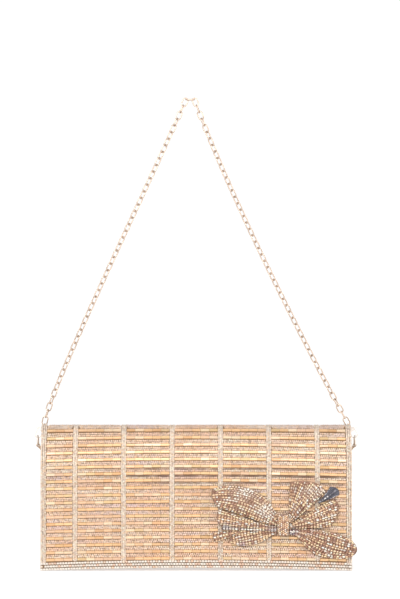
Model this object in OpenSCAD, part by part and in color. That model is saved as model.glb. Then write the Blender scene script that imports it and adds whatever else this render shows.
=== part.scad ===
// Beaded evening bag with a flap, a bow and a clip-on chain strap.
//
// The bag is drawn standing on z = 0 with its front towards -Y and its middle at x = 0.
// Its cross-section is a few tangent arcs, and every ply of the flap and of the body is
// the same arcs moved inwards by its own depth, so the plies nest in each other.
// The strap hangs from the origin, where its top link goes over a peg, and the bag is
// placed under it by place_bag().

/* [Flap] */
// Height of the closed bag, from its base to the crest of the flap
bag_h = 128.7; // [115:0.1:145]
// Width of the flap
flap_w = 280; // [262:1:306]
// Radius of the roll at the crest, over the beads
crest_r = 7; // [6.6:0.1:8.5]
// Angle that the crest roll turns through
crest_turn = 55; // [48:1:60]
// Radius of the padded slope below the crest, over the beads
slope_r = 75; // [66:1:82]
// Radius of the top corners
corner_r = 5.4; // [3.5:0.1:7.5]
// How far the bowed hem falls from its middle to its ends
hem_drop = 2.6; // [1:0.1:4]
// Thickness of the ground cloth that carries the beads
ground_t = 0.6; // [0.4:0.05:0.8]
// Thickness of the flap's stiffening board
flap_board_t = 1.5; // [1:0.05:1.6]
// Thickness of the flap's lining
flap_lining_t = 0.6; // [0.4:0.05:0.7]

/* [Beads] */
// Height of the beads over the ground cloth
bead_t = 2.2; // [1.8:0.05:2.3]
// Number of bead rows from the crest to the hem band
bead_rows = 19; // [17:1:20]
// Width of a row of bugle beads
bugle_w = 2.5; // [2:0.05:2.8]
// Height of the seed beads over the ground cloth
seed_t = 1.8; // [1.4:0.05:2]
// Length of one bugle bead with its gap
bugle_pitch = 7.8; // [6.5:0.05:9]
// Bugle beads in each panel between two columns
bugles_per_panel = 5; // [4:1:6]
// Width of a pale column between panels
column_w = 4.5; // [3.5:0.1:6]
// Number of pale columns
column_count = 6; // [4:2:6]
// Width of the beaded border down each side
border_w = 5.4; // [4:0.1:7]
// Height of the beaded band along the hem, at its middle
hem_band = 7.8; // [6:0.1:10]
// Number of seed rows in the hem band
hem_rows = 3; // [2:1:4]
// Gap between neighbouring beads
bead_gap = 0.25; // [0.15:0.01:0.35]

/* [Body] */
// How far the flap stands past the body on each side
flap_overhang = 2; // [1:0.1:3]
// Radius of the roll at the back of the crest
back_roll_r = 5.6; // [5.2:0.1:6.5]
// Angle that the back roll turns through
back_turn = 50; // [45:1:55]
// Radius of the shoulder at the back
back_slope_r = 48; // [40:1:56]
// Radius of the body's lower edges
base_r = 4; // [3.2:0.1:6]
// Height of the mouth's front rim
mouth_z = 99; // [88:1:104]
// Thickness of the satin covers
cover_t = 0.8; // [0.6:0.05:1]
// Thickness of the boards between cover and lining
board_t = 1.2; // [0.8:0.05:1.3]
// Thickness of the lining
lining_t = 0.5; // [0.3:0.05:0.6]
// Height of the binding on the mouth's rim
binding_h = 1.3; // [0.8:0.1:2]
// How far the body narrows at its shoulders, on each side
shoulder_in = 3.5; // [3:0.1:5]
// Width of the slip pocket inside
pocket_w = 150; // [100:1:200]
// Height of the slip pocket inside
pocket_h = 62; // [40:1:70]

/* [Closure] */
// Radius of the magnet in the flap and of the steel disc in the front
magnet_r = 7; // [5:0.1:9]
// Height of the magnet over the base
magnet_z = 32; // [24:1:45]

/* [Bow] */
// Width of the bow from tip to tip
bow_w = 130; // [100:1:140]
// Distance of the knot from the flap's right edge
bow_in = 62.3; // [50:0.1:80]
// Height of the knot over the base
bow_z = 36.6; // [33:0.1:50]
// Radius of the knot
knot_r = 5; // [4:0.1:5.2]
// Height of the knot from end to end
knot_h = 18.5; // [14:0.1:22]
// How far the loops swell out from the flap
loop_swell = 6.5; // [4:0.1:8]
// How far the tails swell out from the flap
tail_swell = 3; // [2:0.1:5]
// Thickness of the ribbon at its edges
ribbon_edge = 1.2; // [0.8:0.1:2]
// Depth of the pleats in the ribbon
pleat = 0.7; // [0.3:0.1:1]

/* [Strap] */
// Height of the strap's top over the crest of the bag
strap_rise = 294.5; // [250:0.5:340]
// How far the strap's top lies to the left of the bag's middle
apex_shift = 5.6; // [0:0.1:12]
// Length that each link adds to the chain, near enough
link_pitch = 6.5; // [6:0.1:8]
// Radius of the links' wire
link_wire = 0.6; // [0.5:0.05:0.7]
// Outer width of a link
link_w = 5.8; // [5.2:0.1:6.6]
// Play between two linked links
link_play = 0.15; // [0.1:0.01:0.25]
// Turn of the chain about its own length, away from its ends
link_turn = 45; // [0:1:45]

/* [Rings and clasps] */
// Distance of the rings behind the crest
ring_y = 8; // [7.6:0.1:9]
// Height of the middle of the D-rings' arch over the base
ring_z = 112.7; // [109:0.1:114]
// Radius of the D-rings' arch, to the middle of the wire
ring_r = 4.5; // [4.2:0.1:4.8]
// Radius of the D-rings' wire
ring_wire = 0.75; // [0.6:0.05:0.85]
// Straight leg of the D-rings below the arch
ring_leg = 4; // [3.6:0.1:5]
// Thickness of one ply of the ring tabs
tab_t = 0.8; // [0.6:0.05:0.9]
// Length of the ring tabs below the rings
tab_len = 15; // [10:0.5:20]
// Inner radius of the clasps' hook
hook_in_r = 2.2; // [2.1:0.05:2.4]
// Thickness of the clasps' hook
hook_t = 1.1; // [0.9:0.05:1.3]
// Width of the clasps from front to back
clasp_t = 2.4; // [2:0.1:2.6]
// Lean of the left clasp towards the strap
left_lean = 30; // [20:1:36]
// Lean of the right clasp towards the strap
right_lean = 30; // [20:1:36]
// Radius of the jump rings, to the middle of the wire
jump_r = 2; // [1.8:0.1:2.4]
// Radius of the jump rings' wire
jump_wire = 0.5; // [0.4:0.05:0.55]

/* [Hidden] */

$fn = 48;
wire_fn = 20;
arc_steps = 9;
hem_steps = 10;
glue = 0.05;        // gap between plies that are glued or sewn flat on each other
clear = 0.35;       // gap between a soft piece and what it lies on
hinge_gap = 0.3;    // gap between the flap and the body along the crest
run_fit = 0.05;     // radial clearance of a pin in its hole

// ---- Colours
champagne = "#d9b995";
satin_dark = "#b8926c";
lining_tone = "#c9a98c";
card_tone = "#8b7a68";
gold_bead = "#e9bd83";
rose_bead = "#dcb49c";
silver_bead = "#e4d8cf";
copper_bead = "#b5825d";
net_tone = "#5d5a66";
gold_metal = "#e6c7a4";
steel = "#b8b8bc";

// ---- Depths of the plies, from the top of the beads inwards
ground_in = bead_t + ground_t;
flap_board_out = ground_in + glue;
flap_board_in = flap_board_out + flap_board_t;
flap_lining_out = flap_board_in + glue;
flap_lining_in = flap_lining_out + flap_lining_t;
front_out = flap_lining_in + clear;     // outside of the front panel, under the flap
board_out = cover_t + glue;             // these five are depths from the covers' outside
board_in = board_out + board_t;
lining_out = board_in + glue;
lining_in = lining_out + lining_t;
gusset_out = cover_t + glue;

// ---- The cross-section's arcs, as [y, z]
function ray(a) = [cos(a), sin(a)];
function arc(c, r, a0, a1, n = arc_steps) = [for (i = [0:n]) c + r * ray(a0 + (a1 - a0) * i / n)];
function back_to_front(list) = [for (i = [len(list) - 1:-1:0]) list[i]];
function tail_of(list) = [for (i = [1:len(list) - 1]) list[i]];

crest_c = [0, bag_h - crest_r];
knee_a = 90 + crest_turn;
slope_c = crest_c + (crest_r - slope_r) * ray(knee_a);
front_y = slope_c[0] - slope_r;
slope_z = slope_c[1];
knee_z = crest_c[1] + crest_r * sin(knee_a);

back_knee_a = 90 - back_turn;
shoulder_c = crest_c + (back_roll_r - back_slope_r) * ray(back_knee_a);
back_y = shoulder_c[0] + back_slope_r;

body_front_y = front_y + front_out;
base_back_c = [back_y - base_r, base_r];
base_front_c = [body_front_y + base_r, base_r];

// Line of the flap at a depth d under the beads' tops, from the crest to height z_end
function flap_line(d, z_end, a0 = 90) = concat(
    arc(crest_c, crest_r - d, a0, knee_a),
    tail_of(arc(slope_c, slope_r - d, knee_a, 180)),
    [[front_y + d, z_end]]);
function flap_ply(d0, d1, z_end, a0 = 90) =
    concat(flap_line(d0, z_end, a0), back_to_front(flap_line(d1, z_end, a0)));

// Line of the back at a depth d under the cover, from the crest to the base
function back_line(d) = concat(
    arc(crest_c, back_roll_r - d, acos(hinge_gap / (back_roll_r - d)), back_knee_a),
    tail_of(arc(shoulder_c, back_slope_r - d, back_knee_a, 0)),
    arc(base_back_c, base_r - d, 0, -90, 5));

// Line of the front at a depth d under the cover, from the base to height z
function rim_a(d, z) = 180 - asin((z - slope_z) / (slope_r - front_out - d));
function front_line(d, z) = concat(
    arc(base_front_c, base_r - d, 270, 180, 5),
    arc(slope_c, slope_r - front_out - d, 180, rim_a(d, z), 4));

// ---- Where a bead row at height z sits on the ground cloth
function seat_a(z) = z > knee_z ? 180 - asin((z - crest_c[1]) / crest_r)
                   : z > slope_z ? 180 - asin((z - slope_z) / slope_r)
                   : 180;
function seat(z, d) = z > knee_z ? crest_c + (crest_r - d) * ray(seat_a(z))
                    : z > slope_z ? slope_c + (slope_r - d) * ray(seat_a(z))
                    : [front_y + d, z];

row_pitch = (bag_h - hem_band) / bead_rows;
seed_w = row_pitch - bugle_w - 2 * bead_gap;    // the band of seed beads over each row of bugles
column_pitch = bugles_per_panel * bugle_pitch + column_w;
field_half = flap_w / 2 - border_w;
function column_x(i) = (i - (column_count - 1) / 2) * column_pitch;
function panel_start(i) = i == 0 ? -field_half : column_x(i - 1) + column_w / 2;
function panel_end(i) = i == column_count ? field_half : column_x(i) - column_w / 2;

// ---- Body outline and rings
body_half = flap_w / 2 - flap_overhang;
bar_z = ring_z - ring_leg;
shoulder_z = bar_z;
shoulder_drop = 6;
loop_r = ring_wire + run_fit * 2 + tab_t;
tab_kick = 4.7;                         // how far the tab's loop stands off the gusset
ring_x = body_half + clear + loop_r + tab_kick - tab_t / 2;
tab_w = 2 * (ring_r - ring_wire - clear);

// ---- Clasp, in its own plane: x outwards, z up, origin at the middle of the hook
hook_out_r = hook_in_r + hook_t;
ring_play = 0.7;                        // gap under the ring's wire in the hook, for the ring's turn
wire_drop = hook_in_r - ring_wire - ring_play;  // ring's wire under the middle of the hook
hook_gate_z = 1;                        // height of the hook's tip
bow_up = 1.6;                           // straight length of the space inside the hook
throat_z = 3.6;                         // top of the gap that the gate shuts
slot_x = 0.4;                           // inner end of the slot for the gate
pivot = [2.4, 4.9];
pivot_boss = 1.7;
gate_pin_r = 0.45;
gate_t = 0.6;
gate_slot = 1.1;
gate_w = 1;
gate_play = 0.05;                       // gap beside the gate and its spring
gate_tip = 0.15;                        // gap between the gate's tip and the hook's
gate_lever = 2.3;
slot_side = gate_play - gate_slot / 2;
eye_z = 7.6;
eye_r = 1.6;
eye_hole_r = 0.85;
eye_t = 1.2;
eye_neck = 1;                           // height of the neck under the eye
weld = 0.01;                            // overlap that joins the neck to the hook's body
spring_wire = 0.11;

// ---- Strap
turning_links = 6;                      // links over which the turn grows, from each end
link_end_r = link_w / 2 - link_wire;
link_gap = 2 * link_wire + link_play;   // from one link's end to the next one's
apex_half = (link_pitch + link_gap) / 2;
jump_up = eye_z + 0.15 + jump_r;        // middle of the jump ring over the hook's middle
first_link_up = jump_up + jump_r - jump_wire - link_wire - link_play;
bag_at = [apex_shift, -ring_y, -(strap_rise + bag_h)];

// Middle of a hook, as [x, z]; side is -1 on the left and 1 on the right
function lean_of(side) = side < 0 ? left_lean : right_lean;
function along(side) = [-side * sin(lean_of(side)), cos(lean_of(side))];
function hook_at(side) = [bag_at[0] + side * ring_x, bag_at[2] + ring_z + ring_r]
                         + wire_drop * along(side);
function run_end(side) = hook_at(side) + first_link_up * along(side);

// Each run of chain is one Bezier curve; its two handles are shares of its own span
left_handles = [[0.28, 0.28], [0.957, 0.883]];
right_handles = [[0.235, 0.3], [0.658, 0.702]];
function share(a, b, s) = [a[0] + (b[0] - a[0]) * s[0], a[1] + (b[1] - a[1]) * s[1]];
function run_curve(side) =
    let (a = [side * apex_half, 0], b = run_end(side), h = side < 0 ? left_handles : right_handles)
    [a, share(a, b, h[0]), share(a, b, h[1]), b];
function bezier(p, t) = pow(1 - t, 3) * p[0] + 3 * pow(1 - t, 2) * t * p[1]
                        + 3 * (1 - t) * t * t * p[2] + pow(t, 3) * p[3];
function slope_of(p, t) = 3 * pow(1 - t, 2) * (p[1] - p[0]) + 6 * (1 - t) * t * (p[2] - p[1])
                          + 3 * t * t * (p[3] - p[2]);
function sum(list, i = 0) = i == len(list) ? 0 : list[i] + sum(list, i + 1);
function run_length(p, n = 60) = sum([for (i = [1:n]) norm(bezier(p, i / n) - bezier(p, (i - 1) / n))]);
function advance(p, t, ds, n = 4) = n == 0 ? t
    : let (step = ds / n, middle = t + step / 2 / norm(slope_of(p, t)))
      advance(p, t + step / norm(slope_of(p, middle)), ds - step, n - 1);
function marks(p, t, ds, n) = n == 0 ? [] : concat([t], marks(p, advance(p, t, ds), ds, n - 1));

// ---- Helpers
module place_bag() { translate(bag_at) children(); }
module along_x(w) { rotate([90, 0, 90]) linear_extrude(w, center = true) children(); }
module along_y(w) { rotate([90, 0, 0]) linear_extrude(w, center = true) children(); }
module both_sides() { for (side = [-1, 1]) scale_side(side) children(); }
module scale_side(side) { if (side < 0) mirror([1, 0, 0]) children(); else children(); }

// The flap seen from the front
module flap_outline(inset, bottom) {
    half = flap_w / 2 - inset;
    polygon(concat([[-half, bottom], [half, bottom]],
                   arc([half - corner_r, bag_h - corner_r], corner_r, 0, 90, 5),
                   arc([corner_r - half, bag_h - corner_r], corner_r, 90, 180, 5)));
}

// The bowed hem, raised by `up`; it is highest in the middle, just over the base's level
function hem_line(up) = [for (i = [-hem_steps:hem_steps])
    let (x = i / hem_steps) [x * flap_w / 2, clear + up - hem_drop * x * x]];

module below_hem(up) {
    polygon(concat(hem_line(up), [[flap_w, -hem_drop], [flap_w, -flap_w],
                                  [-flap_w, -flap_w], [-flap_w, -hem_drop]]));
}

module flap_sheet(d0, d1, inset, a0 = 90) {
    intersection() {
        along_x(flap_w) polygon(flap_ply(d0, d1, -2 * hem_drop, a0));
        along_y(4 * slope_r) difference() {
            flap_outline(inset, -2 * hem_drop);
            below_hem(inset);
        }
    }
}

// The body seen from the front: it narrows at the shoulders, where the clasps stand
module body_outline(inset) {
    half = body_half - inset;
    neck = half - shoulder_in;
    polygon(concat([[-half, 0], [half, 0], [half, shoulder_z - shoulder_drop], [neck, shoulder_z]],
                   arc([neck - corner_r, bag_h - corner_r], corner_r, 0, 90, 5),
                   arc([corner_r - neck, bag_h - corner_r], corner_r, 90, 180, 5),
                   [[-neck, shoulder_z], [-half, shoulder_z - shoulder_drop]]));
}

module body_ply(inset) {
    intersection() {
        along_x(flap_w) children();
        along_y(4 * slope_r) body_outline(inset);
    }
}

// A domed bead row: a flat foot and a round top
module dome(w, t) {
    r = (w * w / 4 + t * t) / (2 * t);
    intersection() {
        translate([0, t - r]) circle(r, $fn = 32);
        translate([-w / 2, 0]) square([w, t]);
    }
}

module bead_run(x0, x1, z, w, t) {
    at = seat(z, bead_t - glue);
    translate([(x0 + x1) / 2, at[0], at[1]])
        rotate([seat_a(z) - 90, 0, 0])
            along_x(x1 - x0 - bead_gap)
                dome(w, t - glue);
}

// ---- Strap
module link(pitch) {
    half = (pitch + link_gap) / 2 - link_end_r;
    for (end = [0, 180])
        rotate([0, end, 0])
            translate([0, 0, half])
                rotate([90, 0, 0])
                    rotate_extrude(angle = 180)
                        translate([link_end_r, 0]) circle(link_wire, $fn = wire_fn);
    for (side = [-1, 1])
        translate([side * link_end_r, 0, -half]) cylinder(r = link_wire, h = 2 * half, $fn = wire_fn);
}

module chain_run(side) {
    curve = run_curve(side);
    length = run_length(curve);
    count = 2 * round((length / link_pitch - 1) / 2) + 1;
    pitch = length / count;
    start = advance(curve, 0, (pitch + link_gap) / 2 - link_gap);
    at = marks(curve, start, pitch, count);
    for (i = [0:count - 1]) {
        p = bezier(curve, at[i]);
        heading = slope_of(curve, at[i]);
        from_end = min(i, count - 1 - i);
        translate([p[0], 0, p[1]])
            rotate([0, atan2(heading[0], heading[1]), 0])
                rotate([0, 0, (i % 2) * 90 + link_turn * min(1, from_end / turning_links)])
                    link(pitch);
    }
}

module left_links() { color(gold_metal) chain_run(-1); }
module right_links() { color(gold_metal) chain_run(1); }
module apex_link() { color(gold_metal) rotate([90, 0, 0]) rotate([0, 90, 0]) link(link_pitch); }

// Puts a piece drawn in the clasp's own plane on its side of the bag
module at_clasp(side) {
    at = hook_at(side);
    translate([at[0], 0, at[1]])
        rotate([0, -side * lean_of(side), 0])
            scale_side(side)
                children();
}

module jump_ring() {
    translate([0, 0, jump_up])
        rotate([0, 90, 0])
            rotate_extrude() translate([jump_r, 0]) circle(jump_wire, $fn = wire_fn);
}

module left_jump_ring() { color(gold_metal) at_clasp(-1) jump_ring(); }
module right_jump_ring() { color(gold_metal) at_clasp(1) jump_ring(); }

// A clasp's body: a hook with a gap for the gate, two cheeks for its pin, and an eye
module clasp_body() {
    shoulder = [pivot[0] + pivot_boss * cos(45), pivot[1] + pivot_boss * sin(45)];
    difference() {
        along_y(clasp_t) difference() {
            union() {
                circle(hook_out_r);
                translate(pivot) circle(pivot_boss);
                polygon([[-hook_out_r, 0], [hook_out_r, 0], [hook_out_r, throat_z],
                         [pivot[0] + pivot_boss, pivot[1]], shoulder, [eye_t, eye_z - eye_neck],
                         [-eye_t, eye_z - eye_neck], [-hook_out_r, throat_z]]);
            }
            circle(hook_in_r);
            translate([-hook_in_r, 0]) square([2 * hook_in_r, bow_up]);
            translate([0, bow_up]) circle(hook_in_r);
            translate([0, hook_gate_z]) square([2 * hook_out_r, throat_z - hook_gate_z]);
            translate(pivot) circle(gate_pin_r);
        }
        // the slot that the gate turns in
        translate([slot_x, -gate_slot / 2, hook_gate_z]) cube([2 * hook_out_r, gate_slot, eye_z]);
    }
    along_y(eye_t) difference() {
        union() {
            translate([0, eye_z]) circle(eye_r);
            translate([-eye_t, eye_z - eye_neck - weld]) square([2 * eye_t, eye_neck]);
        }
        translate([0, eye_z]) circle(eye_hole_r);
    }
}

module left_clasp() { color(gold_metal) at_clasp(-1) clasp_body(); }
module right_clasp() { color(gold_metal) at_clasp(1) clasp_body(); }

// The gate: an arm that shuts the hook, and a thumb lever outside
module gate() {
    translate([0, slot_side + gate_t / 2, 0])
        along_y(gate_t) difference() {
            union() {
                translate(pivot) circle(pivot_boss - 0.5);
                translate([hook_out_r - gate_w, hook_gate_z + gate_tip])
                    square([gate_w, pivot[1] - hook_gate_z - gate_tip]);
                translate([pivot[0], pivot[1] - gate_w / 2]) square([gate_lever, gate_w]);
                translate([pivot[0] + gate_lever, pivot[1]]) circle(gate_w * 0.8);
            }
            translate(pivot) circle(gate_pin_r + run_fit);
        }
}

module left_gate() { color(gold_metal) at_clasp(-1) gate(); }
module right_gate() { color(gold_metal) at_clasp(1) gate(); }

module gate_pin() {
    translate([pivot[0], 0, pivot[1]])
        rotate([90, 0, 0]) cylinder(r = gate_pin_r, h = clasp_t, center = true);
}

module left_gate_pin() { color(steel) at_clasp(-1) gate_pin(); }
module right_gate_pin() { color(steel) at_clasp(1) gate_pin(); }

// The gate's spring: a coil round the pin, beside the gate
module gate_spring() {
    translate([pivot[0], slot_side + gate_t + spring_wire + gate_play, pivot[1]])
        rotate([90, 0, 0])
            rotate_extrude()
                translate([gate_pin_r + spring_wire + run_fit, 0]) circle(spring_wire, $fn = wire_fn);
}

module left_gate_spring() { color(steel) at_clasp(-1) gate_spring(); }
module right_gate_spring() { color(steel) at_clasp(1) gate_spring(); }

// ---- Rings on the bag
module d_ring() {
    bend_r = 1.2;
    translate([ring_x, ring_y, ring_z]) {
        rotate([90, 0, 90])
            rotate_extrude(angle = 180) translate([ring_r, 0]) circle(ring_wire, $fn = wire_fn);
        for (end = [0, 180])
            rotate([0, 0, end]) {
                translate([0, ring_r, bend_r - ring_leg])
                    cylinder(r = ring_wire, h = ring_leg - bend_r, $fn = wire_fn);
                translate([0, ring_r - bend_r, bend_r - ring_leg])
                    rotate([0, 90, 0])
                        rotate_extrude(angle = 90) translate([bend_r, 0]) circle(ring_wire, $fn = wire_fn);
            }
        translate([0, 0, -ring_leg])
            rotate([90, 0, 0])
                cylinder(r = ring_wire, h = 2 * (ring_r - bend_r), center = true, $fn = wire_fn);
    }
}

module left_d_ring() { color(gold_metal) place_bag() scale_side(-1) d_ring(); }
module right_d_ring() { color(gold_metal) place_bag() scale_side(1) d_ring(); }

// A folded satin tab: round the ring's bar, then down on to the gusset
module ring_tab() {
    foot_x = body_half + clear;
    foot_z = shoulder_z - shoulder_drop;
    foot_end = bar_z - tab_len;
    translate([0, ring_y, 0]) along_y(tab_w) difference() {
        polygon(concat(arc([ring_x, bar_z], loop_r, -20, 200, 16),
                       [[foot_x, foot_z], [foot_x, foot_end],
                        [foot_x + 2 * tab_t, foot_end], [foot_x + 2 * tab_t, foot_z]]));
        translate([ring_x, bar_z]) circle(ring_wire + 2 * run_fit);
    }
}

module left_ring_tab() { color(champagne) place_bag() scale_side(-1) ring_tab(); }
module right_ring_tab() { color(champagne) place_bag() scale_side(1) ring_tab(); }

// ---- Body
module back_panel() {
    color(champagne) place_bag() body_ply(0)
        polygon(concat(back_line(0), back_to_front(back_line(cover_t))));
}

module front_panel() {
    color(champagne) place_bag() body_ply(0)
        polygon(concat(front_line(0, mouth_z), back_to_front(front_line(cover_t, mouth_z))));
}

module base_panel() {
    color(champagne) place_bag() body_ply(0)
        polygon([[base_front_c[0] + glue, 0], [base_back_c[0] - glue, 0],
                 [base_back_c[0] - glue, cover_t], [base_front_c[0] + glue, cover_t]]);
}

// The gusset fills the side, under the flap's slope, inside the front and back covers
gusset_end_a = 100;
function gusset_side() = concat(
    [[hinge_gap, crest_c[1] + (crest_r - front_out) * sin(gusset_end_a)]],
    back_line(gusset_out),
    front_line(gusset_out, mouth_z),
    tail_of(arc(slope_c, slope_r - front_out, rim_a(0, mouth_z), knee_a)),
    tail_of(arc(crest_c, crest_r - front_out, knee_a, gusset_end_a, 4)));

module gusset(side) {
    difference() {
        body_ply(0) polygon(gusset_side());
        along_y(4 * slope_r) body_outline(cover_t);
        translate([-side * flap_w / 2, 0, bag_h / 2]) cube([flap_w, flap_w, 2 * bag_h], center = true);
    }
}

module left_gusset() { color(champagne) place_bag() gusset(-1); }
module right_gusset() { color(champagne) place_bag() gusset(1); }

module back_board() {
    top_a = 60;
    color(card_tone) place_bag() body_ply(gusset_out + glue)
        polygon(concat(arc(crest_c, back_roll_r - board_out, top_a, back_knee_a, 3),
                       tail_of(arc(shoulder_c, back_slope_r - board_out, back_knee_a, 0)),
                       [[back_y - board_out, base_r + glue], [back_y - board_in, base_r + glue]],
                       arc(shoulder_c, back_slope_r - board_in, 0, back_knee_a),
                       tail_of(arc(crest_c, back_roll_r - board_in, back_knee_a, top_a, 3))));
}

module front_board() {
    color(card_tone) place_bag() difference() {
        body_ply(gusset_out + glue) polygon(concat(
            [[body_front_y + board_out, base_r + glue]],
            arc(slope_c, slope_r - front_out - board_out, 180, rim_a(board_out, mouth_z), 4),
            back_to_front(arc(slope_c, slope_r - front_out - board_in, 180, rim_a(board_in, mouth_z), 4)),
            [[body_front_y + board_in, base_r + glue]]));
        translate([0, body_front_y, magnet_z])
            rotate([90, 0, 0]) cylinder(r = magnet_r + clear, h = 4 * board_in, center = true);
    }
}

module base_board() {
    color(card_tone) place_bag() body_ply(gusset_out + glue)
        polygon([[base_front_c[0] + glue, board_out], [base_back_c[0] - glue, board_out],
                 [base_back_c[0] - glue, board_in], [base_front_c[0] + glue, board_in]]);
}

module body_lining() {
    rise = 2 * crest_r;
    color(lining_tone) place_bag() difference() {
        body_ply(gusset_out) polygon(concat(
            [[hinge_gap, crest_c[1]]], back_line(lining_out), front_line(lining_out, mouth_z)));
        intersection() {
            along_x(flap_w) polygon(concat(
                [[hinge_gap, bag_h + rise]], back_line(lining_in), front_line(lining_in, mouth_z),
                [[body_front_y, mouth_z], [body_front_y, bag_h + rise]]));
            along_y(4 * slope_r) body_outline(gusset_out + lining_t);
        }
    }
}

module slip_pocket() {
    y = back_y - lining_in - clear - lining_t / 2;
    color(lining_tone) place_bag()
        translate([0, y, lining_in + clear + pocket_h / 2 + base_r])
            cube([pocket_w, lining_t, pocket_h], center = true);
}

module mouth_binding() {
    z0 = mouth_z + glue;
    z1 = z0 + binding_h;
    color(satin_dark) place_bag() body_ply(gusset_out + lining_t + clear)
        polygon([slope_c + (slope_r - front_out) * ray(rim_a(0, z0)),
                 slope_c + (slope_r - front_out) * ray(rim_a(0, z1)),
                 slope_c + (slope_r - front_out - lining_in) * ray(rim_a(lining_in, z1)),
                 slope_c + (slope_r - front_out - lining_in) * ray(rim_a(lining_in, z0))]);
}

// The tape inside the fold: sewn to the body's lining, and reaching under the flap
module hinge_tape() {
    inner_r = 0.9;
    back_a = 15;            // the tape's two ends, and a small step between its plies
    front_a = 150;
    step_a = 2;
    color(lining_tone) place_bag() intersection() {
        along_x(2 * (body_half - shoulder_in - gusset_out - lining_t - clear))
            polygon(concat(arc(crest_c, back_roll_r - lining_in - glue, back_a, 90 - 3 * step_a),
                           arc(crest_c, crest_r - front_out - glue, 90 - step_a, front_a),
                           arc(crest_c, inner_r, front_a, back_a)));
        along_y(4 * slope_r) body_outline(gusset_out + lining_t + clear);
    }
}

module disc(y0, y1) {
    translate([0, y1, magnet_z]) rotate([90, 0, 0]) cylinder(r = magnet_r, h = y1 - y0);
}

module body_magnet() {
    color(steel) place_bag() disc(body_front_y + board_out, body_front_y + board_in);
}

module flap_magnet() {
    color(steel) place_bag() disc(front_y + flap_board_out, front_y + flap_board_in);
}

// ---- Flap
module flap_ground() { color(satin_dark) place_bag() flap_sheet(bead_t, ground_in, 0); }

module flap_board() {
    color(card_tone) place_bag() difference() {
        flap_sheet(flap_board_out, flap_board_in, 2, 104);
        translate([0, front_y, magnet_z])
            rotate([90, 0, 0]) cylinder(r = magnet_r + clear, h = 4 * flap_lining_in, center = true);
    }
}

module flap_lining() { color(lining_tone) place_bag() flap_sheet(flap_lining_out, flap_lining_in, 0.6); }

// Each row is a band of seed beads over a run of bugle beads, panel by panel
module bead_row(z, w, t) {
    for (panel = [0:column_count])
        bead_run(panel_start(panel), panel_end(panel), z, w, t);
}

module bugle_rows() {
    color(gold_bead) place_bag()
        for (row = [1:bead_rows])
            bead_row(bag_h - row * row_pitch + (bugle_w + bead_gap) / 2, bugle_w, bead_t);
}

// The narrow first band closes the beadwork at the crest
module seed_rows() {
    first_w = 1.6;
    first_a = 101.5;
    color(rose_bead) place_bag() {
        for (row = [0:bead_rows - 1])
            bead_row(bag_h - row * row_pitch - (seed_w + bead_gap) / 2, seed_w, seed_t);
        bead_row(crest_c[1] + crest_r * sin(first_a), first_w, seed_t);
    }
}

// A strip of the beads' own thickness that runs down the flap from x0 to x1
module bead_strip(x0, x1) {
    intersection() {
        translate([(x0 + x1) / 2, 0, 0])
            along_x(x1 - x0 - bead_gap) polygon(flap_ply(0, bead_t - glue, hem_band + bead_gap));
        along_y(4 * slope_r) flap_outline(0, 0);
    }
}

module pale_columns() {
    color(silver_bead) place_bag()
        for (i = [0:column_count - 1])
            for (half = [0, 1])
                bead_strip(column_x(i) + (half - 1) * column_w / 2, column_x(i) + half * column_w / 2);
}

module side_borders() {
    color(rose_bead) place_bag() both_sides()
        for (strand = [0, 1])
            bead_strip(field_half + strand * border_w / 2, field_half + (strand + 1) * border_w / 2);
}

// Strands of seed beads that follow the bowed hem, up to the lowest straight row
module hem_border() {
    strand = (hem_band - clear) / hem_rows;
    color(rose_bead) place_bag()
        translate([0, front_y + (bead_t - glue) / 2, 0])
            along_y(bead_t - glue) intersection() {
                for (i = [0:ceil((hem_band + hem_drop) / strand)])
                    polygon(concat(hem_line(i * strand),
                                   back_to_front(hem_line((i + 1) * strand - bead_gap))));
                translate([-flap_w / 2, -hem_drop]) square([flap_w, hem_band + hem_drop]);
            }
}

// ---- Bow: every fold is a ribbon lofted between two edge curves that leave the knot.
// Points are [x, z] from the knot's middle; u runs from the knot to the tip, v across.
function ribbon_xz(upper, lower, bulge, u, v) =
    bezier(lower, u) * (1 - v) + bezier(upper, u) * v + bulge * pow(u, 3) * 4 * v * (1 - v);
function ribbon_rise(swell, folds, u, v) =
    ribbon_edge + (swell - ribbon_edge) * pow(sin(180 * v), 0.7) * (0.55 + 0.45 * sin(180 * pow(u, 0.8)))
    + pleat * (1 - cos(360 * folds * v)) / 2 * sin(180 * v);

module ribbon(upper, lower, bulge, swell, folds, nu = 10, nv = 12) {
    face_y = front_y - clear;
    top = [for (i = [0:nu]) for (j = [0:nv])
        let (u = i / nu, v = j / nv, p = ribbon_xz(upper, lower, bulge, u, v))
        [bow_x + p[0], face_y - ribbon_rise(swell, folds, u, v), bow_z + p[1]]];
    bottom = [for (p = top) [p[0], face_y, p[2]]];
    count = len(top);
    row = nv + 1;
    quads = [for (i = [0:nu - 1]) for (j = [0:nv - 1])
        let (a = i * row + j) [a, a + 1, a + row + 1, a + row]];
    backs = [for (q = quads) [q[3] + count, q[2] + count, q[1] + count, q[0] + count]];
    rim = concat([for (j = [0:nv]) j], [for (i = [1:nu]) i * row + nv],
                 [for (j = [nv - 1:-1:0]) nu * row + j], [for (i = [nu - 1:-1:1]) i * row]);
    walls = [for (k = [0:len(rim) - 1])
        let (a = rim[k], b = rim[(k + 1) % len(rim)]) [b, a, a + count, b + count]];
    outward = bezier(upper, 1)[0] < 0;
    faces = concat(quads, backs, walls);
    polyhedron(concat(top, bottom), outward ? faces : [for (f = faces) back_to_front(f)]);
}

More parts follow.
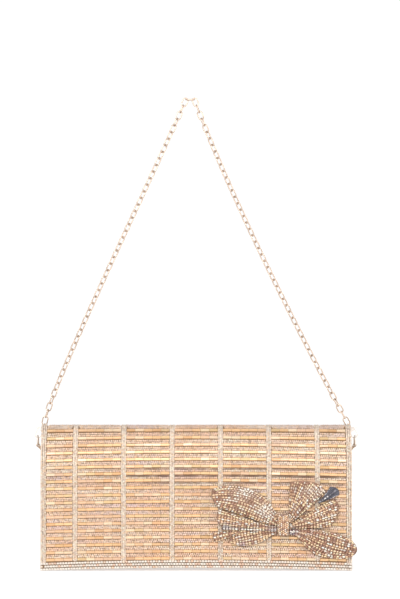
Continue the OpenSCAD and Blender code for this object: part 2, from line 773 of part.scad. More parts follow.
root = knot_r + clear;              // where the ribbons leave the knot
low_fold = 0.8 * loop_swell;        // swell of the loops' lower folds
knot_up = 3;                        // middle of the knot over the ribbons' root
bow_x = flap_w / 2 - bow_in;
unit = bow_w / 130;                 // the curves below are drawn for a bow 130 mm wide
function points(p, q, r, s) = [p * unit, q * unit, r * unit, s * unit];
function curve(side, z, q, r, s) = concat([[side * root, z * unit]], tail_of(points([0, 0], q, r, s)));

module bow_left_loop() {
    color(copper_bead) place_bag() {
        ribbon(curve(-1, 8, [-10, 30], [-36, 45], [-62.7, 34.8]),
               curve(-1, 1.8, [-20, 3.6], [-40, 13.2], [-57.3, 18.6]), [-3.5, 0] * unit, loop_swell, 5);
        ribbon(curve(-1, 1, [-20, 2.4], [-40, 11.6], [-56.2, 16.6]),
               curve(-1, -0.6, [-20, -0.2], [-40, 0.4], [-54.5, 1.4]), [-4, 0] * unit, low_fold, 3);
    }
}

module bow_right_loop() {
    color(copper_bead) place_bag() {
        ribbon(curve(1, 8.5, [5.6, 20], [5.6, 32], [6.6, 41]),
               curve(1, 4, [17, 12.4], [28, 20.5], [38.5, 32.5]), [4, 4.5] * unit, loop_swell, 5);
        ribbon(curve(1, 2.8, [20, 9.6], [32, 21.5], [46.6, 25.6]),
               curve(1, 0.4, [20, -1.2], [32, -0.4], [42.1, 0.7]), [5, 2] * unit, low_fold, 4);
    }
}

// The left tail shows in front, and the ribbon's turned-back end shows beyond it
module bow_left_tail() {
    color(copper_bead) place_bag() {
        ribbon(curve(-1, -2.9, [-22, -3.4], [-40, -1.8], [-47.5, -10]),
               curve(-1, -5, [-14, -7], [-24, -21], [-45.5, -13.6]), [-1.5, 0] * unit, tail_swell, 3);
        ribbon(points([-30, -2.45], [-42, -2.5], [-50, -2.9], [-62.5, -5]),
               points([-30, -2.9], [-40, -3], [-46, -7.6], [-60, -12.4]), [-1.5, 0] * unit, tail_swell, 3);
    }
}

module bow_right_tail() {
    color(copper_bead) place_bag()
        ribbon(curve(1, -1.4, [24, 0], [46, -1], [62.5, -12]),
               curve(1, -5.6, [22, -6], [12, -31], [58.5, -27]), [5.6, -1] * unit, tail_swell, 5);
}

// Bare netting that shows between the folds of the right loop, and under the left loop
module bow_netting() {
    net_swell = ribbon_edge * 1.8;
    color(net_tone) place_bag() {
        ribbon(points([31.4, 23.1], [35, 26.4], [38.8, 31], [42.1, 37]),
               points([31.8, 21.8], [36, 23.8], [43, 26.2], [50.2, 29.4]),
               [2.5, 2] * unit, net_swell, 1, 5, 4);
        ribbon(curve(-1, -1, [-20, -0.7], [-40, 0], [-54, 0.9]),
               curve(-1, -2, [-20, -2.1], [-40, -1.9], [-54, -1.4]), [-1, 0] * unit, net_swell, 1, 8, 4);
    }
}

module bow_knot() {
    end_r = knot_r * 0.78;
    swell_r = (pow(knot_h / 2, 2) + pow(knot_r - end_r, 2)) / (2 * (knot_r - end_r));
    color(copper_bead) place_bag()
        translate([bow_x, front_y - clear - knot_r, bow_z + knot_up])
            rotate_extrude()
                intersection() {
                    translate([knot_r - swell_r, 0]) circle(swell_r, $fn = 180);
                    translate([0, -knot_h / 2]) square([knot_r, knot_h]);
                }
}

apex_link();
left_links();
right_links();
left_jump_ring();
right_jump_ring();
left_clasp();
right_clasp();
left_gate();
right_gate();
left_gate_pin();
right_gate_pin();
left_gate_spring();
right_gate_spring();
left_d_ring();
right_d_ring();
left_ring_tab();
right_ring_tab();
back_panel();
front_panel();
base_panel();
left_gusset();
right_gusset();
back_board();
front_board();
base_board();
body_lining();
slip_pocket();
mouth_binding();
hinge_tape();
body_magnet();
flap_magnet();
flap_ground();
flap_board();
flap_lining();
bugle_rows();
seed_rows();
pale_columns();
side_borders();
hem_border();
bow_left_loop();
bow_right_loop();
bow_left_tail();
bow_right_tail();
bow_netting();
bow_knot();
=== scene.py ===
"""A beaded evening bag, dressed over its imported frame: beadwork, bow, satin, lining and chain."""
import math

import bmesh
import bpy
import numpy as np
from bpy.props import FloatProperty, FloatVectorProperty, IntProperty, PointerProperty
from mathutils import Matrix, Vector
from mathutils.bvhtree import BVHTree


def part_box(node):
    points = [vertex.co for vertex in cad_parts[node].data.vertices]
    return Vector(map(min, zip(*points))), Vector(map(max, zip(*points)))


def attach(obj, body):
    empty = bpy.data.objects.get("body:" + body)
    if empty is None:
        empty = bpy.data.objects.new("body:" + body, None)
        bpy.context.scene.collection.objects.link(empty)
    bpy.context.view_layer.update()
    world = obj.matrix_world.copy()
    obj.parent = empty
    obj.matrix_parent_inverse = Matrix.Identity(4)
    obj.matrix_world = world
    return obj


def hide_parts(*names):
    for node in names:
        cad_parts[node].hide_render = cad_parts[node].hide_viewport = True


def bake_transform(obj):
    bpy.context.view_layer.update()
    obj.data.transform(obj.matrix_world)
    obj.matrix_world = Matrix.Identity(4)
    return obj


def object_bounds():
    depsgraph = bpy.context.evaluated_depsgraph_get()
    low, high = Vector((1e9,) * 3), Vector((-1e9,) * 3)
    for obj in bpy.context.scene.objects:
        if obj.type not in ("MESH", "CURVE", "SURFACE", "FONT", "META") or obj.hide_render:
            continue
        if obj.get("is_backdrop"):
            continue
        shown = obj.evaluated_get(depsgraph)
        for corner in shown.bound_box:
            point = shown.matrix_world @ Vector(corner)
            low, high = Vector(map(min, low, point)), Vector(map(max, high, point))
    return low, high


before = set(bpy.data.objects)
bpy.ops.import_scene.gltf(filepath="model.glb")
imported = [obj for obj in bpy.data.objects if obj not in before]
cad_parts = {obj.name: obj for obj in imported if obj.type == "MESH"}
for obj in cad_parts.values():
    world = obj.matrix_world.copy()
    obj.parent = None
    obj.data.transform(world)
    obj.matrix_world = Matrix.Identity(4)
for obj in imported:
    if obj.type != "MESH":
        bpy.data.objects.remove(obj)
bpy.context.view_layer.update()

bl_info = {
    "name": "Beaded Evening Bag",
    "version": (1, 0, 0),
    "blender": (4, 5, 0),
    "location": "View3D > Sidebar > Evening Bag",
    "description": "Dresses a flap bag with bugle and seed beads, a beaded bow, satin and a chain",
    "category": "Add Mesh",
}

# ---- Facts of the frame. The bag's own origin is under the middle of its crest, at its base.
_ground, _tops, _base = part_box("flap_ground"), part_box("pale_columns"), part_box("base_panel")
ORIGIN = np.array([(_ground[0].x + _ground[1].x) / 2, _ground[1].y, _base[0].z])
FLAP_W = _ground[1].x - _ground[0].x
BAG_H = _tops[1].z - ORIGIN[2]
FRONT_Y = _tops[0].y - ORIGIN[1]
BODY_HALF = (_base[1].x - _base[0].x) / 2
MOUTH_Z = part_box("front_panel")[1].z - ORIGIN[2]
RING_WIRE = 0.00075     # radius of the D-rings' wire
# The middle of each D-ring's straight bar: how far out and how far up it lies
RING_BAR = {side: np.array([abs((low.x + high.x) / 2 - ORIGIN[0]), low.z + RING_WIRE - ORIGIN[2]])
            for side, (low, high) in ((-1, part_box("left_d_ring")), (1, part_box("right_d_ring")))}
CLEAR = 0.00035         # gap between a soft piece and what it lies on
MM = 0.001

# ---- Image points of the photograph, in its 400 x 599 frame
FRAME_W, FRAME_H = 400, 599
POINTS = {
    "left_edge": (39.5, 500.0),
    "right_edge": (352.4, 500.0),
    "crest": (196.0, 425.0),
    "hem_middle": (230.0, 568.2),
    "strap_top": (190.0, 97.0),
    "left_clasp": (39.0, 431.5),
    "right_clasp": (353.5, 430.8),
    "first_column": (74.5, 505.0),
    "last_column": (317.5, 455.0),
    "bow_knot": (282.6, 524.5),
    "left_loop_tip": (210.5, 492.0),
    "left_tail_tip": (212.5, 537.0),
    "netting_tip": (338.0, 491.0),
    "right_tail_tip": (356.8, 549.0),
    "left_glints": (246.0, 491.5),
    "lower_glints": (264.0, 509.5),
    "right_glints": (318.0, 488.0),
    "knot_glints": (295.0, 532.5),
}


# ---- What a user would change
class BeadSettings(bpy.types.PropertyGroup):
    """Sizes of the flap and of its beadwork."""
    crest_radius: FloatProperty(name="Crest radius", description="Roll of the crest over the beads' tops",
                                default=0.007, unit="LENGTH")
    crest_turn: FloatProperty(name="Crest turn", description="Angle that the crest roll turns through",
                              default=math.radians(55), subtype="ANGLE")
    slope_radius: FloatProperty(name="Slope radius",
                                description="Padded slope below the crest, over the beads' tops",
                                default=0.075, unit="LENGTH")
    corner_radius: FloatProperty(name="Corner radius", description="Rounding of the flap's top corners",
                                 default=0.0054, unit="LENGTH")
    bead_height: FloatProperty(name="Bead height",
                               description="Height of the bugle beads over the ground cloth",
                               default=0.0022, unit="LENGTH")
    rows: IntProperty(name="Rows", description="Rows of bugle beads from the crest to the hem band", default=19)
    row_drop: FloatProperty(name="Row drop", description="How far the rows fall towards the sides",
                            default=0.0018, unit="LENGTH")
    bugle_length: FloatProperty(name="Bugle pitch", description="Length of one bugle bead with its gap",
                                default=0.0078, unit="LENGTH")
    bugle_width: FloatProperty(name="Bugle width", description="Width of one bugle bead",
                               default=0.0025, unit="LENGTH")
    seed_size: FloatProperty(name="Seed size", description="Diameter of the small seed beads",
                             default=0.00175, unit="LENGTH")
    bugles_per_panel: IntProperty(name="Bugles per panel", description="Bugle beads between two columns",
                                  default=5)
    column_width: FloatProperty(name="Column width", description="Width of a pale column",
                                default=0.0045, unit="LENGTH")
    column_count: IntProperty(name="Columns", description="Number of pale columns", default=6)
    border_width: FloatProperty(name="Border width", description="Width of the beaded border down each side",
                                default=0.0054, unit="LENGTH")
    hem_band: FloatProperty(name="Hem band", description="Height of the band of round beads along the hem",
                            default=0.0078, unit="LENGTH")
    hem_drop: FloatProperty(name="Hem drop", description="How far the bowed hem falls to its ends",
                            default=0.0026, unit="LENGTH")
    hem_bead: FloatProperty(name="Hem bead", description="Diameter of the round beads along the hem",
                            default=0.0023, unit="LENGTH")
    bead_gap: FloatProperty(name="Bead gap", description="Gap between neighbouring rows",
                            default=0.00025, unit="LENGTH")


class BowSettings(bpy.types.PropertyGroup):
    """Sizes of the beaded bow."""
    from_right: FloatProperty(name="From the right",
                              description="Distance of the knot from the flap's right edge",
                              default=0.0623, unit="LENGTH")
    height: FloatProperty(name="Height", description="Height of the knot over the base",
                          default=0.0366, unit="LENGTH")
    knot_radius: FloatProperty(name="Knot radius", description="Radius of the knot",
                               default=0.005, unit="LENGTH")
    knot_height: FloatProperty(name="Knot height", description="Height of the knot",
                               default=0.0185, unit="LENGTH")
    knot_up: FloatProperty(name="Knot up", description="Middle of the knot over the ribbons' root",
                           default=0.003, unit="LENGTH")
    loop_swell: FloatProperty(name="Loop swell", description="How far the loops stand off the flap",
                              default=0.0054, unit="LENGTH")
    tail_swell: FloatProperty(name="Tail swell", description="How far the tails stand off the flap",
                              default=0.0026, unit="LENGTH")
    pleat: FloatProperty(name="Pleat", description="Depth of the pleats", default=0.0012, unit="LENGTH")
    string_pitch: FloatProperty(name="String pitch", description="Distance between two strings of beads",
                                default=0.0020, unit="LENGTH")
    bead_length: FloatProperty(name="Bead length", description="Length of a short bugle on the bow",
                               default=0.0025, unit="LENGTH")


class BodySettings(bpy.types.PropertyGroup):
    """Sizes of the satin body under the flap."""
    overhead: FloatProperty(name="Under the flap", description="From the beads' tops to the front cover",
                            default=0.00535, unit="LENGTH")
    back_roll: FloatProperty(name="Back roll", description="Radius of the roll behind the crest",
                             default=0.0056, unit="LENGTH")
    back_turn: FloatProperty(name="Back turn", description="Angle that the back roll turns through",
                             default=math.radians(50), subtype="ANGLE")
    back_slope: FloatProperty(name="Back slope", description="Radius of the shoulder at the back",
                              default=0.048, unit="LENGTH")
    base_radius: FloatProperty(name="Base radius", description="Radius of the body's lower edges",
                               default=0.004, unit="LENGTH")
    cover: FloatProperty(name="Cover", description="Thickness of the satin covers",
                         default=0.0008, unit="LENGTH")
    lining: FloatProperty(name="Lining", description="Thickness of the lining", default=0.0005, unit="LENGTH")
    lining_depth: FloatProperty(name="Lining depth", description="From the covers' outside to the lining",
                                default=0.0021, unit="LENGTH")
    shoulder_z: FloatProperty(name="Shoulder",
                              description="Height at which the body is narrow enough for the rings",
                              default=0.1087, unit="LENGTH")
    shoulder_in: FloatProperty(name="Shoulder inset", description="How far the body narrows at its shoulders",
                               default=0.0035, unit="LENGTH")
    edge_radius: FloatProperty(name="Edge radius", description="Roll of the covers into the gussets",
                               default=0.0015, unit="LENGTH")
    crease: FloatProperty(name="Crease", description="Depth of the soft fold down each gusset",
                          default=0.0022, unit="LENGTH")
    padding: FloatProperty(name="Padding", description="Most that the padded back may swell", default=0.0016,
                           unit="LENGTH")


class FinishSettings(bpy.types.PropertyGroup):
    """Colours of the finishes."""
    gold: FloatVectorProperty(name="Gold bugles", description="Colour of the bugle beads", subtype="COLOR",
                              default=(0.93, 0.60, 0.32))
    rose: FloatVectorProperty(name="Rose seeds",
                              description="Colour of the pinkish seed beads", subtype="COLOR",
                              default=(0.93, 0.67, 0.52))
    silver: FloatVectorProperty(name="Silver seeds",
                                description="Colour of the pale seed beads", subtype="COLOR",
                                default=(0.96, 0.80, 0.67))
    copper: FloatVectorProperty(name="Copper beads", description="Colour of the bow's beads", subtype="COLOR",
                                default=(1.0, 0.68, 0.42))
    ground: FloatVectorProperty(name="Ground cloth",
                                description="Colour of the cloth under the beads", subtype="COLOR",
                                default=(0.38, 0.24, 0.13))
    net: FloatVectorProperty(name="Netting", description="Colour of the bare netting", subtype="COLOR",
                             default=(0.17, 0.165, 0.20))
    satin: FloatVectorProperty(name="Satin", description="Colour of the satin", subtype="COLOR",
                               default=(0.70, 0.49, 0.31))
    metal: FloatVectorProperty(name="Metal", description="Colour of the chain and the rings", subtype="COLOR",
                               default=(0.72, 0.57, 0.46))


class StudioSettings(bpy.types.PropertyGroup):
    """The camera and the light."""
    distance: FloatProperty(name="Distance", description="From the camera to the flap's face",
                            default=1.6, unit="LENGTH")
    span: FloatProperty(name="Span", description="Height of the frame at the flap's face",
                        default=0.5367, unit="LENGTH")
    aim_x: FloatProperty(name="Aim X", description="Where the camera stands, to the right",
                         default=0.00896, unit="LENGTH")
    aim_z: FloatProperty(name="Aim Z", description="Height at which the camera stands",
                         default=-0.18205, unit="LENGTH")
    sensor: FloatProperty(name="Sensor", description="Sensor width in millimetres", default=36.0)
    key: FloatProperty(name="Key light", description="Power of the softbox over the camera", default=15.0)
    fill: FloatProperty(name="Fill", description="Strength of the white room", default=0.62)


def settings(group):
    """The scene's settings of one group: beads, bow, body, finish or studio."""
    return getattr(bpy.context.scene, "bag_" + group)


# ---- Surfaces
def row_frame(points):
    """Bag coordinates to the row's frame: the bag's origin is added."""
    return np.asarray(points, float) + ORIGIN


def arcs():
    """Centres and lengths of the flap's section: a crest arc, a slope arc and a straight, each tangent to the
    next."""
    b = settings("beads")
    crest = np.array([0.0, BAG_H - b.crest_radius])
    knee = math.pi / 2 + b.crest_turn
    slope = crest + (b.crest_radius - b.slope_radius) * np.array([math.cos(knee), math.sin(knee)])
    return crest, slope, knee, b.crest_radius * b.crest_turn, b.slope_radius * (math.pi - knee)


def over_flap(s, lift):
    """(y, z) and the normal's angle at a distance s down the flap from the crest, lift over the ground cloth.
    The angle grows as s over the arc's radius, and the point is the arc's centre plus its radius times that
    ray."""
    b = settings("beads")
    crest, slope, knee, l1, l2 = arcs()
    s, lift = np.broadcast_arrays(np.asarray(s, float), np.asarray(lift, float))
    on_slope = np.minimum(knee + (s - l1) / b.slope_radius, math.pi)
    a = np.where(s < l1, math.pi / 2 + s / b.crest_radius, on_slope)
    r = np.where(s < l1, b.crest_radius, b.slope_radius) - b.bead_height + lift
    y = np.where(s < l1, crest[0], slope[0]) + r * np.cos(a)
    z = np.where(s < l1, crest[1], slope[1]) + r * np.sin(a) - np.maximum(s - l1 - l2, 0)
    return y, z, a


def down_to(z):
    """Distance s down the flap to heights z of the beads' tops: the inverse of over_flap, arc by arc."""
    b = settings("beads")
    crest, slope, knee, l1, l2 = arcs()
    z = np.asarray(z, float)
    crest_angle = np.arcsin(np.clip((z - crest[1]) / b.crest_radius, -1, 1))
    slope_angle = np.arcsin(np.clip((z - slope[1]) / b.slope_radius, -1, 1))
    on_crest = b.crest_radius * (math.pi / 2 - crest_angle)
    on_slope = l1 + b.slope_radius * (math.pi - knee - slope_angle)
    return np.where(z > crest[1] + b.crest_radius * math.sin(knee), on_crest,
                    np.where(z > slope[1], on_slope, l1 + l2 + slope[1] - z))


def eased(t):
    """Smooth step from 0 to 1: 3 t^2 - 2 t^3, flat at both ends."""
    t = np.clip(t, 0, 1)
    return t * t * (3 - 2 * t)


ROW_EASE = 0.02         # how far below the crest the rows reach their full bow


def bowed(x, s):
    """Rows fall towards the sides as row_drop times (x / half)^2, eased in over the first 20 mm below the
    crest."""
    return s + settings("beads").row_drop * (x / (FLAP_W / 2)) ** 2 * eased(s / ROW_EASE)


def lattice(*axes):
    """The axes' values as arrays over a grid, the first axis first."""
    return np.meshgrid(*axes, indexing="ij")


def run_of(path):
    """The distance along a path to each of its points."""
    return np.r_[0, np.cumsum(np.linalg.norm(np.diff(path, axis=0), axis=1))]


def at_marks(marks, run, table):
    """Rows of a table that is known along a run, at other distances along it."""
    return np.stack([np.interp(marks, run, column) for column in np.transpose(table)], 1)


def outward(points, faces):
    """Turns a closed mesh's faces outwards: the signed volume is the sum of each face's triple product."""
    p = np.asarray(points, float) - np.mean(points, 0)
    a, b, c, d = (p[faces[:, k]] for k in range(4))
    volume = (np.einsum("ij,ij->i", a, np.cross(b, c)) + np.einsum("ij,ij->i", a, np.cross(c, d))).sum()
    return faces if volume > 0 else faces[:, ::-1]


def mesh_piece(name, points, faces, tones=None, smooth=True, uv=None):
    """An object at the origin from whole arrays of points and of faces that all have as many corners."""
    mesh = bpy.data.meshes.new(name)
    count, corners = faces.shape
    mesh.vertices.add(len(points))
    mesh.vertices.foreach_set("co", np.asarray(points, np.float32).ravel())
    mesh.loops.add(count * corners)
    mesh.loops.foreach_set("vertex_index", np.asarray(faces, np.int32).ravel())
    mesh.polygons.add(count)
    mesh.polygons.foreach_set("loop_start", np.arange(0, count * corners, corners, dtype=np.int32))
    mesh.polygons.foreach_set("use_smooth", np.full(count, smooth))
    mesh.update(calc_edges=True)
    if tones is not None:
        opaque = np.column_stack([tones, np.ones(len(tones))]).astype(np.float32)
        mesh.color_attributes.new("tone", "FLOAT_COLOR", "POINT").data.foreach_set("color", opaque.ravel())
    if uv is not None:
        corner_uv = np.asarray(uv, np.float32)[faces.ravel()]
        mesh.uv_layers.new(name="weave").data.foreach_set("uv", corner_uv.ravel())
    piece = bpy.data.objects.new(name, mesh)
    bpy.context.scene.collection.objects.link(piece)
    return piece


def grid_faces(m, n):
    """Quads of an m by n grid of points, row after row."""
    i, j = lattice(np.arange(m - 1), np.arange(n - 1))
    a = (i * n + j).ravel()
    return np.stack([a, a + n, a + n + 1, a + 1], 1)


def ring_faces(rings, sides, closed=False):
    """Quads between neighbouring rings of points; closed also joins the last ring to the first."""
    i, j = lattice(np.arange(rings if closed else rings - 1), np.arange(sides))
    i2, j2 = (i + 1) % rings, (j + 1) % sides
    return np.stack([i * sides + j, i2 * sides + j, i2 * sides + j2, i * sides + j2], -1).reshape(-1, 4)


def shell_faces(m, n):
    """Quads of a closed sheet: an outer grid, an inner grid after it, and walls along their shared rim."""
    top = grid_faces(m, n)
    rim = np.concatenate([np.arange(m - 1) * n, (m - 1) * n + np.arange(n - 1),
                          np.arange(m - 1, 0, -1) * n + n - 1, np.arange(n - 1, 0, -1)])
    ahead = np.roll(rim, -1)
    return np.concatenate([top, top[:, ::-1] + m * n, np.stack([ahead, rim, rim + m * n, ahead + m * n], 1)])


def sheet_uv(grid):
    """Metres along the two ways of a grid, so that a weave follows the cloth: the runs of its middle lines."""
    m, n = grid.shape[:2]
    u, v = lattice(run_of(grid[:, n // 2]), run_of(grid[m // 2]))
    return np.stack([v.ravel(), u.ravel()], 1)


def cloth_shell(name, *pairs):
    """One closed sheet per pair of grids, outer and inner, in bag coordinates, all in one mesh."""
    points, faces, uvs, start = [], [], [], 0
    for outer, inner in pairs:
        m, n = outer.shape[:2]
        both = np.concatenate([outer.reshape(-1, 3), inner.reshape(-1, 3)])
        faces.append(outward(both, shell_faces(m, n)) + start)
        points.append(both)
        uvs.append(np.tile(sheet_uv(outer), (2, 1)))
        start += len(both)
    return mesh_piece(name, row_frame(np.concatenate(points)), np.concatenate(faces), uv=np.concatenate(uvs))


def tube(name, path, across, radii, sides=10):
    """A closed tube: an ellipse of two radii carried along a path; across is one axis, and the other is square
    to it and to the path. The two ends close on their own middles."""
    path, across = np.asarray(path, float), np.broadcast_to(across, np.shape(path))
    other = np.cross(np.gradient(path, axis=0), across)
    other /= np.linalg.norm(other, axis=1, keepdims=True)
    turn = circle(sides)
    first, second = across[:, None] * radii[0], other[:, None] * radii[1]
    rings = path[:, None] + first * turn[None, :, :1] + second * turn[None, :, 1:]
    rings = np.concatenate([np.repeat(path[:1, None], sides, 1), rings, np.repeat(path[-1:, None], sides, 1)])
    points = row_frame(rings.reshape(-1, 3))
    piece = mesh_piece(name, points, outward(points, ring_faces(len(rings), sides)))
    close_poles(piece)
    return piece


def close_poles(piece, near=1e-7):
    """Merges the points that lie on each other at a tube's or barrel's ends, and drops the empty faces."""
    form = bmesh.new()
    form.from_mesh(piece.data)
    bmesh.ops.remove_doubles(form, verts=form.verts, dist=near)
    bmesh.ops.dissolve_degenerate(form, edges=form.edges, dist=near / 10)
    form.to_mesh(piece.data)
    form.free()


def bead_form(profile, section):
    """A bead with its hole along X: each point of the closed profile of (x, share) draws the (y, z) section."""
    profile, section = np.asarray(profile, float), np.asarray(section, float)
    sides = len(section)
    places = np.repeat(profile[:, :1, None], sides, 1)
    points = np.concatenate([places, profile[:, 1:, None] * section[None]], 2).reshape(-1, 3)
    return points, ring_faces(len(profile), sides, closed=True)


def circle(sides):
    """Even points of the unit circle."""
    turn = np.linspace(0, 2 * math.pi, sides, endpoint=False)
    return np.stack([np.cos(turn), np.sin(turn)], 1)


# A bugle's section, and the profiles that make each kind of bead: out round its shell and back through its hole
BAR = [(1, 0.4), (0.62, 1), (-0.62, 1), (-1, 0.4), (-1, -0.5), (-0.6, -1), (0.6, -1), (1, -0.5)]
SEED = bead_form([(0.5, 0.42), (0.5, 0.72), (0.0, 1.0), (-0.5, 0.72), (-0.5, 0.42)], circle(7))
BUGLE = bead_form([(0.5, 0.4), (0.5, 0.86), (0.48, 1.0), (-0.48, 1.0), (-0.5, 0.86), (-0.5, 0.4)], BAR)
STITCH = bead_form([(0.5, 0.1), (0.42, 0.8), (0.0, 1.0), (-0.42, 0.8), (-0.5, 0.1)], circle(6))


def strew(name, form, at, along, up, size, tones=None, smooth=True):
    """One mesh with a copy of the form at each point: its X goes along, its Z up, times size, which is its
    length, width and height."""
    points, faces = form
    along = along / np.linalg.norm(along, axis=1, keepdims=True)
    side = np.cross(up, along)
    side /= np.linalg.norm(side, axis=1, keepdims=True)
    top = np.cross(along, side)
    axes = np.stack([along, side, top], 1) * (np.asarray(size) * [1, 0.5, 0.5])[:, :, None]
    placed = np.einsum("pk,nkc->npc", points, axes) + row_frame(at)[:, None, :]
    shifted = faces[None] + (np.arange(len(at)) * len(points))[:, None, None]
    tones = None if tones is None else np.repeat(tones, len(points), 0)
    return mesh_piece(name, placed.reshape(-1, 3), shifted.reshape(-1, 4), tones, smooth)


def stitches(name, path, up, pitch=0.0030, length=0.0021, thick=0.0004):
    """A row of stitches: low capsules at even steps of a path, each along it, sunk by half into the cloth."""
    path = np.asarray(path, float)
    run = run_of(path)
    marks = np.arange(pitch / 2, run[-1], pitch)
    at, along = at_marks(marks, run, path), at_marks(marks, run, np.gradient(path, run, axis=0))
    up = at_marks(marks, run, np.broadcast_to(up, path.shape))
    return strew(name, STITCH, at, along, up, np.tile([length, thick, thick], (len(at), 1)))


# ---- Colour of single beads
def wander(x, scale, seed, count=4096, ahead=700):
    """Smooth noise from 0 to 1 along x: count seeded values a scale apart, joined by a smooth step. Places are
    counted from ahead, which keeps them above 0."""
    values = np.random.default_rng(seed).random(count)
    t = np.asarray(x) / scale + ahead
    i, f = np.floor(t).astype(int), eased(t - np.floor(t))
    return values[i % count] * (1 - f) + values[(i + 1) % count] * f


def some(rng, n, share):
    """True for a random share of n beads."""
    return rng.random(n) > 1 - share


RIDGE_PAINTED_SHADE = 0.26       # painted shade: how much darker the beads at the upturned crest are
RIDGE_REACH = 0.016     # how far down the flap that eases off


def light_below_crest_shade(s):
    """Light of beads by their distance down the flap: less at the crest by a painted shade where the crest
    faces up, full below its reach."""
    return 1 - RIDGE_PAINTED_SHADE * (1 - eased(s / RIDGE_REACH))


def tint(base, turns, light):
    """Each bead's colour: the base, one for all or one each, turned to each other colour in order by its
    weights, then times its light."""
    tone = np.array(np.broadcast_to(np.asarray(base, float), (len(light), 3)))
    for other, weight in turns:
        tone += (np.asarray(other) - tone) * np.asarray(weight)[:, None]
    return np.clip(tone * np.asarray(light)[:, None], 0.01, 1)


# ---- Materials
def nodes_of(name):
    """A new material, its tree and its shader."""
    mat = bpy.data.materials.new(name)
    mat.use_nodes = True
    tree = mat.node_tree
    return mat, tree, tree.nodes["Principled BSDF"]


def link(tree, a, b):
    """Joins an output to an input."""
    tree.links.new(a, b)


def ramp_between(tree, fac, low, high, at=(0.3, 0.7)):
    """A colour from low to high as fac goes between two places."""
    ramp = tree.nodes.new("ShaderNodeValToRGB")
    ramp.color_ramp.elements[0].position, ramp.color_ramp.elements[1].position = at
    ramp.color_ramp.elements[0].color, ramp.color_ramp.elements[1].color = (*low, 1), (*high, 1)
    link(tree, fac, ramp.inputs["Fac"])
    return ramp.outputs["Color"]


def noise(tree, scale, detail=3):
    """Noise on the Object coordinates."""
    place = tree.nodes.new("ShaderNodeTexCoord")
    n = tree.nodes.new("ShaderNodeTexNoise")
    n.inputs["Scale"].default_value = scale
    n.inputs["Detail"].default_value = detail
    link(tree, place.outputs["Object"], n.inputs["Vector"])
    return n.outputs["Fac"]


def bump(tree, shader, height, distance, strength=0.5):
    """A bump of a height map into the shader's or another bump's normal."""
    b = tree.nodes.new("ShaderNodeBump")
    b.inputs["Strength"].default_value = strength
    b.inputs["Distance"].default_value = distance
    link(tree, height, b.inputs["Height"])
    link(tree, b.outputs["Normal"], shader.inputs["Normal"])
    return b


def joined(tree, how, a, b):
    """Two numbers joined by a Math node."""
    node = tree.nodes.new("ShaderNodeMath")
    node.operation = how
    for socket, value in zip(node.inputs, (a, b)):
        if isinstance(value, (int, float)):
            socket.default_value = value
        else:
            link(tree, value, socket)
    return node.outputs["Value"]


def varied_gloss(tree, shader, scale, rough, low=0.75, high=1.3, detail=3):
    """Roughness that wanders between two shares of its value, as handling leaves it."""
    spread = tree.nodes.new("ShaderNodeMapRange")
    spread.inputs["To Min"].default_value, spread.inputs["To Max"].default_value = rough * low, rough * high
    link(tree, noise(tree, scale, detail), spread.inputs["Value"])
    link(tree, spread.outputs["Result"], shader.inputs["Roughness"])


def bead_finish(name, metallic, rough, coat):
    """Lined glass: the bead's own tone, mottled by fine noise, with a gloss that wears a little."""
    mat, tree, shader = nodes_of(name)
    tone = tree.nodes.new("ShaderNodeVertexColor")
    tone.layer_name = "tone"
    mottle = ramp_between(tree, noise(tree, 900), (0.86, 0.84, 0.82), (1.0, 1.0, 1.0))
    mix = tree.nodes.new("ShaderNodeMix")
    mix.data_type, mix.blend_type = "RGBA", "MULTIPLY"
    share, first, second, result = mix.inputs[0], mix.inputs[6], mix.inputs[7], mix.outputs[2]
    share.default_value = 1.0
    link(tree, tone.outputs["Color"], first)
    link(tree, mottle, second)
    link(tree, result, shader.inputs["Base Color"])
    varied_gloss(tree, shader, 420, rough)
    shader.inputs["Metallic"].default_value = metallic
    shader.inputs["Coat Weight"].default_value = coat
    shader.inputs["Coat Roughness"].default_value = 0.08
    return mat


def metal_finish(name, colour, rough):
    """Plated metal: two close tones in soft patches, faint scratches and a gloss that varies."""
    mat, tree, shader = nodes_of(name)
    dark = tuple(c * 0.72 for c in colour)
    link(tree, ramp_between(tree, noise(tree, 260, detail=5), dark, colour), shader.inputs["Base Color"])
    varied_gloss(tree, shader, 800, rough, low=0.7, high=1.5, detail=6)
    bump(tree, shader, noise(tree, 2600, detail=4), distance=0.00002, strength=0.25)
    shader.inputs["Metallic"].default_value = 1.0
    return mat


def cloth_finish(name, colour, rough, sheen, thread=0.00045, long_float=1.0, pucker=0.0, lustre=0.0):
    """Woven cloth on the piece's own UV in metres: crossed waves for warp and weft, the weft longer where the
    weave is satin; a soft slub in the colour; and slow puckers under the weave."""
    mat, tree, shader = nodes_of(name)
    dark = tuple(c * 0.88 for c in colour)
    link(tree, ramp_between(tree, noise(tree, 420, detail=6), dark, colour), shader.inputs["Base Color"])
    shader.inputs["Metallic"].default_value = lustre
    place = tree.nodes.new("ShaderNodeUVMap")
    place.uv_map = "weave"
    waves = []
    for axis, length in (("X", thread), ("Y", thread * long_float)):
        wave = tree.nodes.new("ShaderNodeTexWave")
        wave.wave_type, wave.bands_direction = "BANDS", axis
        # A wave node's bands lie pi / 10 apart at scale 1
        wave.inputs["Scale"].default_value = 2 * math.pi / length / 20
        wave.inputs["Distortion"].default_value = 1.2
        wave.inputs["Detail Scale"].default_value = 2.0
        link(tree, place.outputs["UV"], wave.inputs["Vector"])
        waves.append(wave.outputs["Fac"])
    woven = bump(tree, shader, joined(tree, "MULTIPLY", *waves), distance=0.00012, strength=0.35)
    if pucker:
        bump(tree, woven, noise(tree, 45, detail=2), distance=pucker, strength=0.6)
    varied_gloss(tree, shader, 150, rough, low=0.85, high=1.15)
    shader.inputs["Sheen Weight"].default_value = sheen
    shader.inputs["Sheen Roughness"].default_value = 0.35
    return mat


